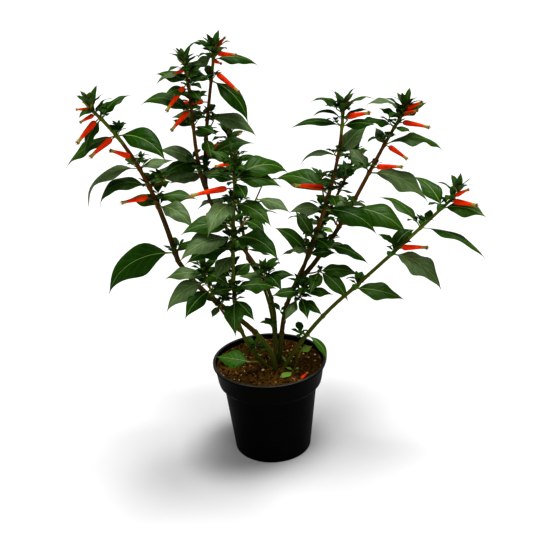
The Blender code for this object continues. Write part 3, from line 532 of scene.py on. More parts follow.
@dataclass(frozen=True)
class Finish:
    """One surface of the plant or pot.

    Attributes:
        name: the material's name.
        colour: the main colour.
        second: the colour of its patches.
        roughness: from 0, polished, to 1, dull.
        amount: how strongly the patches show.
        patch_scale: patches in a metre.
        grain_scale: grains in a metre.
        grain_depth: height of the grain in metres.
        specular: share of the usual gloss.
    """

    name: str
    colour: Colour
    second: Colour
    roughness: float
    amount: float = 0.5
    patch_scale: float = 90.0
    grain_scale: float = 1400.0
    grain_depth: float = 0.00004
    specular: float = 0.5

    def pattern(self, wires: Wiring, colour: Socket, height: Socket) -> tuple[Socket, Socket]:
        """Lay the finish's own pattern over the mottling: a plain finish has none."""
        return colour, height

    def build(self) -> bpy.types.Material:
        """Return the material, building it the first time."""
        made = bpy.data.materials.get(self.name)
        if made is not None:
            return made
        made = bpy.data.materials.new(self.name)
        made.use_nodes = True
        wires = Wiring(made.node_tree)
        shader = made.node_tree.nodes["Principled BSDF"]
        mottle = wires.group(Effect.MOTTLE, {
            "Colour": (*self.colour, 1.0), "Second": (*self.second, 1.0), "Amount": self.amount,
            "Patch Scale": self.patch_scale, "Grain Scale": self.grain_scale,
            "Roughness": self.roughness})
        colour, height = self.pattern(wires, mottle["Colour"], mottle["Height"])
        bump = wires.node("ShaderNodeBump", {"Distance": self.grain_depth, "Height": height})
        feeds = {"Base Color": colour, "Roughness": mottle["Roughness"], "Normal": bump.outputs[0],
                 "Specular IOR Level": self.specular}
        for key, value in feeds.items():
            wires.feed(shader.inputs[key], value)
        made.diffuse_color = (*self.colour, 1.0)
        return made


@dataclass(frozen=True)
class LeafFinish(Finish):
    """A leaf's surface, with side veins.

    Attributes:
        vein: the veins' colour.
        vein_strength: how clearly they show.
        vein_relief: their weight against the grain in the relief.
    """

    grain_depth: float = 0.00005
    vein: Colour = (0.12, 0.2, 0.06)
    vein_strength: float = 0.42
    vein_relief: float = 4.5

    def pattern(self, wires: Wiring, colour: Socket, height: Socket) -> tuple[Socket, Socket]:
        """Draw the side veins, in colour and as grooves."""
        veins = wires.group(Effect.VEINS, {
            "Blade": colour, "Vein": (*self.vein, 1.0), "Strength": self.vein_strength})
        return veins["Colour"], wires.maths("MULTIPLY_ADD", veins["Height"], self.vein_relief, height)


@dataclass(frozen=True)
class BarkFinish(Finish):
    """The surface of a stem or a flower's tube, with fine streaks along it.

    Attributes:
        streak: the streaks' colour.
        streak_amount: how clearly they show.
        streak_relief: their weight against the grain in the relief.
    """

    specular: float = 0.08
    streak: Colour = (0.2, 0.1, 0.05)
    streak_amount: float = 0.6
    streak_relief: float = 3.0

    def pattern(self, wires: Wiring, colour: Socket, height: Socket) -> tuple[Socket, Socket]:
        """Draw the streaks, in colour and as ribs."""
        ribs = wires.group(Effect.RIBS, {
            "Colour": colour, "Streak": (*self.streak, 1.0), "Amount": self.streak_amount})
        return ribs["Colour"], wires.maths("MULTIPLY_ADD", ribs["Height"], self.streak_relief, height)


@dataclass(frozen=True)
class EarthFinish(Finish):
    """A dull, coarse surface, as compost has."""

    roughness: float = 0.95
    patch_scale: float = 500.0
    grain_depth: float = 0.0002
    specular: float = 0.1


RIB_PALE = Finish("midrib_pale", (0.21, 0.31, 0.08), (0.155, 0.24, 0.052), 0.5, specular=0.1)
RIB_YOUNG = Finish("midrib_young", (0.075, 0.14, 0.008), (0.05, 0.1, 0.005), 0.5, specular=0.2)
LEAF_UNDER = LeafFinish(
    "leaf_underside", (0.045, 0.09, 0.014), (0.034, 0.075, 0.01), 0.62, vein=(0.095, 0.16, 0.032),
    specular=0.12)


class Shade(Enum):
    """The tints that leaves are dealt; three of them hold painted light: sheen, backlight and light from
    above.
    """

    DARK = LeafFinish(
        "leaf_dark", (0.018, 0.062, 0.001), (0.033, 0.088, 0.004), 0.42,
        vein=(0.055, 0.12, 0.014), specular=0.11)
    # Grey-green: a lighter colour that is painted sheen, the sky's reflection on the blades.
    GREY = LeafFinish(
        "leaf_painted_sheen", (0.062, 0.11, 0.028), (0.094, 0.148, 0.054), 0.5,
        vein=(0.14, 0.21, 0.075), specular=0.22)
    DEEP = LeafFinish(
        "leaf_deep", (0.009, 0.042, 0.0), (0.016, 0.06, 0.001), 0.4,
        vein=(0.035, 0.09, 0.006), specular=0.07)
    # A bright green that is painted backlight: light glowing through the rear leaves.
    BRIGHT = LeafFinish(
        "leaf_painted_backlight", (0.085, 0.24, 0.012), (0.065, 0.19, 0.01), 0.45,
        vein=(0.14, 0.3, 0.04), specular=0.25)
    YOUNG = LeafFinish(
        "leaf_young", (0.01, 0.048, 0.0), (0.026, 0.074, 0.001), 0.4,
        vein=(0.04, 0.1, 0.005), vein_strength=0.2, specular=0.08)
    # A fresh green, made lighter still as painted light from above on the low leaves.
    FRESH = LeafFinish(
        "leaf_fresh_painted_light", (0.026, 0.092, 0.002), (0.038, 0.118, 0.004), 0.42,
        vein=(0.08, 0.165, 0.014), specular=0.12)
    PALE = LeafFinish(
        "leaf_pale", (0.175, 0.315, 0.04), (0.12, 0.245, 0.018), 0.5,
        vein=(0.2, 0.33, 0.07), specular=0.12)

    @property
    def rib(self) -> Finish:
        """The finish of the midrib that goes with this tint."""
        return RIB_YOUNG if self is Shade.YOUNG else RIB_PALE


class Stage(Enum):
    """How a stem ripens, from its green tip to brown bark, and green near the soil."""

    TIP = BarkFinish(
        "stem_tip_green", (0.07, 0.115, 0.002), (0.105, 0.105, 0.002), 0.5, streak=(0.14, 0.15, 0.008))
    REDDISH = BarkFinish(
        "stem_reddish", (0.072, 0.024, 0.001), (0.048, 0.038, 0.001), 0.5, streak=(0.14, 0.055, 0.003))
    BROWN = BarkFinish(
        "stem_brown", (0.03, 0.014, 0.001), (0.044, 0.03, 0.001), 0.6, streak=(0.08, 0.042, 0.003))
    OLIVE = BarkFinish(
        "stem_olive", (0.03, 0.048, 0.001), (0.048, 0.05, 0.001), 0.55, streak=(0.085, 0.095, 0.003))


FLOWER_TUBE = BarkFinish(
    "flower_tube", (0.86, 0.034, 0.0), (0.52, 0.004, 0.0), 0.42, amount=0.7, patch_scale=140.0,
    streak=(0.9, 0.105, 0.001), streak_amount=0.45, grain_depth=0.00003, specular=0.04)
FLOWER_LIP = Finish(
    "flower_lip", (0.34, 0.27, 0.045), (0.13, 0.15, 0.012), 0.45, patch_scale=700.0, specular=0.2)
FLOWER_THROAT = Finish("flower_throat", (0.1, 0.01, 0.014), (0.05, 0.006, 0.01), 0.6, patch_scale=500.0)
FILAMENT = Finish("flower_filament", (0.42, 0.12, 0.07), (0.3, 0.05, 0.04), 0.5, patch_scale=400.0)
STALK = BarkFinish(
    "flower_stalk", (0.16, 0.045, 0.018), (0.12, 0.06, 0.02), 0.5, streak=(0.24, 0.08, 0.03),
    specular=0.5)
BUD = Finish("bud_green", (0.2, 0.23, 0.03), (0.34, 0.16, 0.02), 0.45, amount=0.8, patch_scale=220.0)
POT_BLACK = Finish(
    "pot_black", (0.001, 0.001, 0.0007), (0.0024, 0.0022, 0.0015), 0.5, patch_scale=45.0,
    grain_scale=2600.0, grain_depth=0.00003, specular=0.02)
# The lip's top: a lighter grey that is a painted highlight, with a little more gloss.
POT_RIM_HIGHLIGHT = Finish(
    "pot_rim_painted_highlight", (0.02, 0.019, 0.015), (0.045, 0.042, 0.034), 0.45, amount=0.8, patch_scale=120.0,
    grain_scale=2600.0, grain_depth=0.00003, specular=0.25)
SOIL_DAMP = EarthFinish(
    "soil_damp", (0.04, 0.016, 0.001), (0.105, 0.05, 0.006), amount=0.9, patch_scale=260.0,
    grain_scale=1500.0, grain_depth=0.0004)
CRUMB_DARK = EarthFinish("crumb_dark", (0.022, 0.009, 0.001), (0.05, 0.024, 0.003))
CRUMB_BROWN = EarthFinish("crumb_brown", (0.115, 0.054, 0.007), (0.075, 0.034, 0.004))
CRUMB_TAN = EarthFinish("crumb_tan", (0.3, 0.17, 0.035), (0.19, 0.1, 0.018))
GRAIN_PALE = Finish(
    "grain_pale", (0.66, 0.55, 0.27), (0.48, 0.37, 0.15), 0.9, patch_scale=600.0, grain_depth=0.0001)
LITTER = Finish(
    "litter_dry", (0.3, 0.085, 0.018), (0.17, 0.045, 0.01), 0.8, patch_scale=300.0, grain_depth=0.0001)
FLOOR = Finish(
    "floor_pale", (0.7, 0.7, 0.7), (0.69, 0.69, 0.69), 0.9, patch_scale=2.0, grain_scale=60.0,
    grain_depth=0.00001, specular=0.1)


# Meshes made once and joined by arrays

def deselect_all() -> None:
    """Leave object mode's selection empty."""
    if bpy.context.mode != "OBJECT":
        bpy.ops.object.mode_set(mode="OBJECT")
    bpy.ops.object.select_all(action="DESELECT")


def extrude_rings(rings: Sequence[Float2], axis: int) -> None:
    """Extrude the selected ring through a profile, in edit mode.

    Args:
        rings: radius and place along the axis of each ring, the first being the selected one.
        axis: 0 for a profile along X, or 2 for one along Z.
    """
    for (radius, place), (next_radius, next_place) in zip(rings, rings[1:]):
        move = [0.0, 0.0, 0.0]
        move[axis] = next_place - place
        size = [next_radius / radius] * 3
        size[axis] = 1.0
        centre = [0.0, 0.0, 0.0]
        centre[axis] = next_place
        bpy.ops.mesh.extrude_region_move(TRANSFORM_OT_translate={"value": move})
        bpy.ops.transform.resize(value=size, center_override=centre)


def edit_all() -> None:
    """Go into edit mode with everything selected."""
    bpy.ops.object.mode_set(mode="EDIT")
    bpy.ops.mesh.select_all(action="SELECT")


def close_edit() -> None:
    """Turn every face outwards and leave edit mode."""
    bpy.ops.mesh.select_all(action="SELECT")
    bpy.ops.mesh.normals_make_consistent(inside=False)
    bpy.ops.object.mode_set(mode="OBJECT")


def pick(obj: Piece) -> None:
    """Select one object alone and make it the active one."""
    deselect_all()
    obj.select_set(True)
    bpy.context.view_layer.objects.active = obj


def apply_all(obj: Piece) -> None:
    """Apply every modifier of an object, in order."""
    pick(obj)
    for modifier in list(obj.modifiers):
        bpy.ops.object.modifier_apply(modifier=modifier.name)


def link(name: str, data: bpy.types.ID) -> Piece:
    """Return a new object with this data, linked to the scene."""
    made = bpy.data.objects.new(name, data)
    bpy.context.scene.collection.objects.link(made)
    return made


@dataclass(frozen=True)
class Blank:
    """A small mesh as arrays: modelled once, then bent and joined in many places.

    Attributes:
        coords: the vertices.
        corners: the vertex at each face corner.
        sizes: the number of corners of each face.
        slots: each face's material slot.
    """

    coords: Array
    corners: Array
    sizes: Array
    slots: Array

    @classmethod
    def take(cls, obj: Piece) -> "Blank":
        """Read an object's mesh and remove the object.

        Args:
            obj: the modelled object, at the origin.

        Returns:
            Its mesh as arrays.
        """
        deselect_all()
        mesh = obj.data
        coords = np.empty(len(mesh.vertices) * 3)
        corners = np.empty(len(mesh.loops), int)
        sizes = np.empty(len(mesh.polygons), int)
        slots = np.empty(len(mesh.polygons), int)
        mesh.vertices.foreach_get("co", coords)
        mesh.loops.foreach_get("vertex_index", corners)
        mesh.polygons.foreach_get("loop_total", sizes)
        mesh.polygons.foreach_get("material_index", slots)
        bpy.data.objects.remove(obj, do_unlink=True)
        bpy.data.meshes.remove(mesh)
        return cls(coords.reshape(-1, 3), corners, sizes, slots)


def tube_blank(rings: int, sides: int) -> Blank:
    """Return the faces of a tube whose ends are closed.

    Args:
        rings: the number of rings.
        sides: the number of sides.

    Returns:
        The blank. Its vertices are placed by whoever adds it to a pile.
    """
    ring, side = np.meshgrid(np.arange(rings), np.arange(sides), indexing="ij")
    low = ring[:-1] * sides
    step = (side[:-1] + 1) % sides
    walls = np.stack([low + side[:-1], low + step, low + sides + step, low + sides + side[:-1]], -1)
    last = (rings - 1) * sides
    corners = np.concatenate([walls.ravel(), np.arange(sides)[::-1], last + np.arange(sides)])
    sizes = np.concatenate([np.full((rings - 1) * sides, 4), [sides, sides]])
    return Blank(np.zeros((rings * sides, 3)), corners, sizes, np.zeros(len(sizes), int))


def round_rings(spots: Array, sides: Array, ups: Array, radii: Array, count: int) -> Array:
    """Return the vertices of round rings.

    Args:
        spots: each ring's centre.
        sides: a direction across each ring.
        ups: the direction square to it, in the ring's plane.
        radii: each ring's radius.
        count: the number of vertices in a ring.

    Returns:
        The vertices, ring by ring.
    """
    turns = np.arange(count) * math.tau / count
    ring = sides[:, None] * np.cos(turns)[None, :, None] + ups[:, None] * np.sin(turns)[None, :, None]
    return (spots[:, None] + ring * radii[:, None, None]).reshape(-1, 3)


def tube_uvs(sides: int, reach: Array) -> Array:
    """Return a tube's UV places: the share of a turn, and each ring's distance along it."""
    return np.stack([np.tile(np.arange(sides) / sides, len(reach)), np.repeat(reach, sides)], 1)


class Pile:
    """Meshes of one kind, joined into one piece.

    Attributes:
        SHARP: the angle from which an edge is shaded sharp.
    """

    SHARP = 42.0

    def __init__(self) -> None:
        """Start with nothing joined."""
        self.parts: list[tuple] = []
        self.count = 0

    def add(self, blank: Blank, coords: Array, uvs: Array | None = None,
            slots: Array | int | None = None) -> None:
        """Join one more copy.

        Args:
            blank: the mesh that is copied.
            coords: where its vertices go.
            uvs: each vertex's place on the surface, or None.
            slots: the material slot of each face, or of all, or None for the blank's own.
        """
        if slots is None:
            slots = blank.slots
        elif isinstance(slots, int):
            slots = np.full(len(blank.sizes), slots)
        if uvs is None:
            uvs = np.zeros((len(coords), 2))
        self.parts.append((coords, blank.corners + self.count, blank.sizes, slots, uvs[blank.corners]))
        self.count += len(coords)

    def build(self, name: str, finishes: Sequence[Finish]) -> Piece:
        """Make the joined piece.

        Args:
            name: the piece's name.
            finishes: one for each material slot.

        Returns:
            The piece, at the origin.
        """
        coords, corners, sizes, slots, uvs = (np.concatenate(part) for part in zip(*self.parts))
        mesh = bpy.data.meshes.new(name)
        mesh.vertices.add(len(coords))
        mesh.vertices.foreach_set("co", coords.ravel())
        mesh.loops.add(len(corners))
        mesh.loops.foreach_set("vertex_index", corners)
        mesh.polygons.add(len(sizes))
        mesh.polygons.foreach_set("loop_start", np.concatenate([[0], np.cumsum(sizes)[:-1]]))
        mesh.polygons.foreach_set("material_index", slots)
        mesh.uv_layers.new(name="UVMap").data.foreach_set("uv", uvs.ravel())
        mesh.update(calc_edges=True)
        mesh.validate()
        mesh.shade_smooth()
        mesh.set_sharp_from_angle(angle=math.radians(self.SHARP))
        for finish in finishes:
            mesh.materials.append(finish.build())
        return link(name, mesh)


def present(piece: Piece, slot: str, *nodes: str) -> None:
    """Hand a finished piece to the frame.

    Args:
        piece: the piece, at the origin.
        slot: the record's material slot that it belongs to; not used.
        nodes: the solids that it stands for.
    """
    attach(piece, BODY)
    if nodes:
        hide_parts(*nodes)
    triangles = sum(len(face.vertices) - 2 for face in piece.data.polygons)
    log.info("%s: %d triangles, stands for %s", piece.name, triangles, ", ".join(nodes) or "no solid")


# Growth: the source's rule, and what grows on from it

def unit(heading: float, rise: float) -> Vector:
    """Return the direction with this heading and this rise over the level."""
    h = math.radians(heading)
    r = math.radians(rise)
    return Vector((math.cos(h) * math.cos(r), math.sin(h) * math.cos(r), math.sin(r)))


class Line:
    """The line of a grown limb, read at any share of its length."""

    def __init__(self, limb: Limb, foot: Vector, rings: int = 13) -> None:
        """Grow the line.

        Args:
            limb: the limb's sizes.
            foot: where it starts.
            rings: the number of points on it.
        """
        self.limb = limb
        step = limb.length * MM / (rings - 1)
        self.points = [foot]
        self.directions = [self.direction(0)]
        for i in range(1, rings):
            middle = self.direction((i - 0.5) / (rings - 1))
            self.points.append(self.points[-1] + middle * step)
            self.directions.append(self.direction(i / (rings - 1)))

    def direction(self, s: float) -> Vector:
        """Return the limb's direction at the share s of its length."""
        a, b, c = self.limb.lean
        lean = a * (1 - s) * (1 - 2 * s) + b * 4 * s * (1 - s) + c * s * (2 * s - 1)
        low, high = self.limb.heading
        return unit(low + (high - low) * s, 90 - lean)

    def at(self, s: float) -> tuple[Vector, Vector]:
        """Return the point and direction at the share s of the length."""
        place = min(max(s, 0), 1) * (len(self.points) - 1)
        i = min(int(place), len(self.points) - 2)
        t = place - i
        point = self.points[i].lerp(self.points[i + 1], t)
        return point, self.directions[i].lerp(self.directions[i + 1], t).normalized()

    def radius(self, s: float) -> float:
        """Return the radius at the share s of the length."""
        low, high = self.limb.radius
        return (low + (high - low) * s) * MM


class Size(Enum):
    """The kinds of leaf, by how finely each is modelled."""

    BLADE = "blade"
    TUFT = "tuft"
    AXIL = "axil"


@dataclass(frozen=True)
class Leaf:
    """One leaf and its place.

    Attributes:
        start: the point on the stem's own line where the stalk begins.
        heading: the way it points, from +X.
        length: from the stem's line to the tip.
        rise: the angle over the level at which it leaves the stem.
        droop: the angle by which it bends down along its length.
        roll: the blade's turn about its own line.
        size: how finely it is modelled.
        shade: its tint.
        broad: how broad it is against the usual leaf of its kind.
    """

    start: Vector
    heading: float
    length: float
    rise: float
    droop: float
    roll: float
    size: Size
    shade: Shade
    broad: float = 1.0

    def angle(self, share: float) -> float:
        """Return the leaf's rise at a share of its length: most of the bend is near the tip."""
        return self.rise - self.droop * LEAF_BOW * share ** LEAF_CURL


@dataclass(frozen=True)
class PairRule:
    """How crossed pairs of small leaves follow each other, from the outer pair inwards.

    Attributes:
        size: how finely they are modelled.
        turn: where the outer pair points, and the step from pair to pair.
        length: the range of the outer pair's length against the tuft's, or in millimetres.
        shrink: how much shorter each inner pair is, as a share of the outer one.
        rise: the range of the outer pair's rise, and what each inner pair adds.
        droop: the range of how far the outer pair bends, and what each inner pair adds.
        spread: the seeded part of a leaf's turn, either way.
        apart: the share of the stem's length between pairs.
    """

    size: Size
    turn: Float2
    length: Float2
    shrink: float
    rise: tuple[float, float, float]
    droop: tuple[float, float, float]
    spread: float = 0.0
    apart: float = 0.0


TUFT_PAIRS = PairRule(Size.TUFT, (0, 90), (1, 1), 0.12, (50, 50, 14), (75, 75, -18), apart=0.03)
HEART_PAIRS = PairRule(Size.TUFT, (45, 67), (0.663, 0.858), 1 / 6, (60, 60, 7), (25, 55, 0), spread=12)
AXIL_PAIRS = PairRule(Size.AXIL, (90, 90), (13, 24), 0.35, (30, 55, 15), (40, 75, 0), spread=20)


@dataclass(frozen=True)
class Bloom:
    """One flower or bud and its place.

    Attributes:
        start: the point on the stem's own line where its stalk begins.
        heading: the way it points, from +X.
        rise: the angle over the level.
        length: from the stem to the mouth.
        bud: True while it is closed and green.
    """

    start: Vector
    heading: float
    rise: float
    length: float
    bud: bool = False


@dataclass
class Growth:
    """Grows every limb and lists the leaves and flowers that it carries.

    Attributes:
        soil_top: the height of the soil.
        gap: what the source leaves between a limb and what carries it.
        droop_per_mm: degrees that a leaf bends down for each millimetre.
        roll_spread: the seeded part of a blade's turn, either way.
        mate_size: the second leaf's length against the first one's, where set by rule.
        mate_spread: how far from opposite that leaf may point.
        mate_rise: the range of its rise.
        tuft_place: the share of a shoot's length at its tuft's innermost pair.
        tuft_pairs: the number of crossed pairs in a shoot's tuft.
        heart_pairs: the number of finer pairs inside a tuft.
        buds: the number of buds inside a tuft.
        bud_size: the range of a bud's length against the tuft's.
        bud_rise: the range of its rise.
        twig_pairs: the number of crossed pairs in a side twig's tuft.
        twig_bow: how much nearer to upright a twig is at its foot, middle and tip.
        twig_radius: its radius at the foot and the tip.
        axil_pairs: the number of pairs in a leaf's axil.
        axil_reach: the range of length of the twig that carries them, in millimetres.
        axil_lean: the range of its lean from upright.
        axil_radius: its radius at the foot and the tip.
        lines: each limb's line, once it has grown.
        twigs: the lines of all side twigs.
        leaves: all leaves, in the order in which they grow.
        blooms: all flowers and buds.
    """

    soil_top: float
    gap: float = 0.3 * MM
    droop_per_mm: float = 0.9
    roll_spread: float = 10.0
    mate_size: float = 0.8
    mate_spread: float = 15.0
    mate_rise: Float2 = (5.0, 25.0)
    tuft_place: float = 0.99
    tuft_pairs: int = 3
    heart_pairs: int = 4
    buds: int = 3
    bud_size: Float2 = (0.238, 0.374)
    bud_rise: Float2 = (50.0, 80.0)
    twig_pairs: int = 2
    twig_bow: tuple[float, float, float] = (0.0, 10.0, 20.0)
    twig_radius: Float2 = (1.0, 0.7)
    axil_pairs: int = 2
    axil_reach: Float2 = (3.0, 9.0)
    axil_lean: Float2 = (35.0, 55.0)
    axil_radius: Float2 = (0.7, 0.5)
    lines: dict[str, Line] = field(default_factory=dict)
    twigs: list[Line] = field(default_factory=list)
    leaves: list[Leaf] = field(default_factory=list)
    blooms: list[Bloom] = field(default_factory=list)

    def foot_of(self, limb: Limb) -> Vector:
        """Return where a limb starts, a gap clear of what carries it."""
        if not isinstance(limb.start[0], str):
            return Vector((limb.start[0] * MM, limb.start[1] * MM, self.soil_top + self.gap))
        along = Line(limb, Vector()).directions[0]
        parent = self.lines[limb.start[0]]
        share = limb.start[1]
        spot, axis = parent.at(share)
        if share == 1:
            return spot + axis * self.gap
        normal = (along - axis * along.dot(axis)).normalized()
        return spot + along * ((parent.radius(share) + self.gap) / along.dot(normal))

    def place_leaf(self, start: Vector, values: tuple, tilt: float, size: Size, shade: Shade,
                   rng: Random, broad: float = 1.0) -> None:
        """List one leaf.

        Args:
            start: where its stalk begins.
            values: heading, length and rise, and its own droop and tilt if they differ.
            tilt: how far its blade faces the front.
            size: how finely it is modelled.
            shade: its tint.
            rng: the seeded source of its roll.
            broad: how broad it is against the usual leaf of its kind.
        """
        heading, length, rise = values[:3]
        droop = values[3] if len(values) > 3 else length * self.droop_per_mm
        tilt = values[4] if len(values) > 4 else tilt
        roll = tilt * math.cos(math.radians(heading)) + rng.uniform(-self.roll_spread, self.roll_spread)
        self.leaves.append(Leaf(start, heading, length * MM, rise, droop, roll, size, shade, broad))

    def place_tuft(self, line: Line, share: float, size: float, pairs: int, rng: Random) -> None:
        """List the small leaves round a tip, then the finer ones and the buds inside them.

        Args:
            line: the shoot or twig.
            share: the share of its length at the innermost pair.
            size: the outer leaves' length in millimetres.
            pairs: the number of crossed pairs that the source has.
            rng: the seeded source of their turn.
        """
        turn = rng.uniform(0, 90)
        self.place_pairs(TUFT_PAIRS, pairs, line, share, turn, size, rng)
        finer = Random(int(turn * 1000))
        self.place_pairs(HEART_PAIRS, self.heart_pairs, line, share, turn, size, finer)
        start, _ = line.at(share)
        for k in range(self.buds):
            length = size * finer.uniform(*self.bud_size) * MM
            heading = turn + 360 / self.buds * k
            self.blooms.append(Bloom(start, heading, finer.uniform(*self.bud_rise), length, bud=True))

    def place_pairs(self, pairs: PairRule, count: int, line: Line, share: float, turn: float, size: float,
                    rng: Random) -> None:
        """List crossed pairs of small leaves round a stem.

        Args:
            pairs: how they follow each other.
            count: the number of pairs.
            line: the stem's line.
            share: the share of its length at the innermost pair.
            turn: the heading that theirs is reckoned from.
            size: the length that theirs is reckoned from, in millimetres.
            rng: the seeded source of what differs from leaf to leaf.
        """
        for j in range(count):
            start, _ = line.at(share - pairs.apart * (count - 1 - j))
            for k in range(2):
                heading = turn + pairs.turn[0] + pairs.turn[1] * j + 180 * k
                heading += draw(rng, -pairs.spread, pairs.spread)
                length = size * draw(rng, *pairs.length) * (1 - pairs.shrink * j)
                rise = draw(rng, *pairs.rise[:2]) + pairs.rise[2] * j
                droop = draw(rng, *pairs.droop[:2]) + pairs.droop[2] * j
                self.place_leaf(start, (heading, length, rise, droop), 0, pairs.size, Shade.YOUNG, rng)

    def place_twig(self, name: str, twig: Twig, rng: Random) -> None:
        """Grow a side twig with its leaves and end tuft."""
        lean = tuple(90 - twig.rise - bow for bow in self.twig_bow)
        limb = Limb((0, 0), twig.length, lean, (twig.heading, twig.heading), self.twig_radius)
        line = Line(limb, self.lines[name].at(twig.at)[0], rings=5)
        self.twigs.append(line)
        for share, values in twig.leaves:
            shade = self.deal_shade(name, rng_of(values))
            self.place_leaf(line.at(share)[0], values, SHOOTS[name].tilt, Size.BLADE, shade, rng)
        self.place_tuft(line, 1, twig.tuft, self.twig_pairs, rng)

    def deal_shade(self, name: str, rng: Random) -> Shade:
        """Deal a leaf its tint, from the tints that its shoot has."""
        tints = TINTS.get(name, USUAL_TINTS)
        return Shade[rng.choices(list(tints), list(tints.values()))[0]]

    def place_axils(self, name: str, node: Node, headings: Sequence[float]) -> None:
        """Grow a twig with a few small leaves in the axil of each leaf of a node.

        Args:
            name: the shoot.
            node: the joint.
            headings: where the node's own leaves point.
        """
        start, _ = self.lines[name].at(node.at)
        for heading in headings:
            rng = rng_of((name, node.at, heading))
            reach = rng.uniform(*self.axil_reach)
            lean = rng.uniform(*self.axil_lean)
            limb = Limb((0, 0), reach, (lean, lean, lean), (heading, heading), self.axil_radius)
            twig = Line(limb, start, rings=3)
            self.twigs.append(twig)
            self.place_pairs(AXIL_PAIRS, self.axil_pairs, twig, 1, heading, 1, rng)

    def grow(self) -> None:
        """Grow the limbs, and then list leaves and flowers in the source's order."""
        for name, limb in (BOUGHS | {name: shoot.stem for name, shoot in SHOOTS.items()}).items():
            self.lines[name] = Line(limb, self.foot_of(limb))
        for number, (name, shoot) in enumerate(SHOOTS.items()):
            rng = Random(SEED + number)
            for node in shoot.nodes:
                start, _ = self.lines[name].at(node.at)
                shade = self.deal_shade(name, rng_of((name, node.at)))
                self.place_leaf(start, node.first, shoot.tilt, Size.BLADE, shade, rng, shoot.broad)
            for at, heading, rise, length in shoot.flowers:
                start, _ = self.lines[name].at(at)
                self.blooms.append(Bloom(start, heading, rise, length * MM))
        for number, (name, shoot) in enumerate(SHOOTS.items()):
            self.grow_by_rule(name, shoot, Random(RULE_SEED + number))
        for name, share, heading in FOOT_SPRIGS:
            self.place_axils(name, Node(share, ()), (heading,))
        self.grow_on_soil()

    def grow_on_soil(self) -> None:
        """List the seedlings' leaves and the fallen flower."""
        for x, y, z, heading, length, rise, droop, broad in SEEDLINGS:
            start = Vector((x * MM, y * MM, self.soil_top + z * MM))
            values = (heading, length, rise, droop)
            self.place_leaf(start, values, 0, Size.AXIL, Shade.PALE, rng_of((x, y)), broad)
        x, y, z, heading, rise, length = FALLEN_FLOWER
        start = Vector((x * MM, y * MM, self.soil_top + z * MM))
        self.blooms.append(Bloom(start, heading, rise, length * MM))

    def grow_by_rule(self, name: str, shoot: Shoot, rng: Random) -> None:
        """Grow a shoot's twigs, its tuft, its second leaves and its axils."""
        line = self.lines[name]
        for twig in shoot.twigs:
            self.place_twig(name, twig, rng)
        if shoot.tuft:
            self.place_tuft(line, self.tuft_place, shoot.tuft, self.tuft_pairs, rng)
        for node in shoot.nodes:
            mate = node.second
            if mate is None:
                heading, length = node.first[:2]
                heading += 180 + rng.uniform(-self.mate_spread, self.mate_spread)
                mate = (heading, length * self.mate_size, rng.uniform(*self.mate_rise))
            headings = [node.first[0]]
            if mate:
                start, _ = line.at(node.at)
                shade = self.deal_shade(name, rng_of((name, node.at, mate[0])))
                self.place_leaf(start, mate, shoot.tilt, Size.BLADE, shade, rng, shoot.broad)
                headings.append(mate[0])
            if shoot.tuft:
                self.place_axils(name, node, headings)


def rng_of(key: object) -> Random:
    """Return a random source seeded by the words and numbers of a key."""
    return Random(repr(key))


def draw(rng: Random, low: float, high: float) -> float:
    """Draw a number from a range, or take it without a draw where the range has no width."""
    return low if low == high else rng.uniform(low, high)


# Leaves

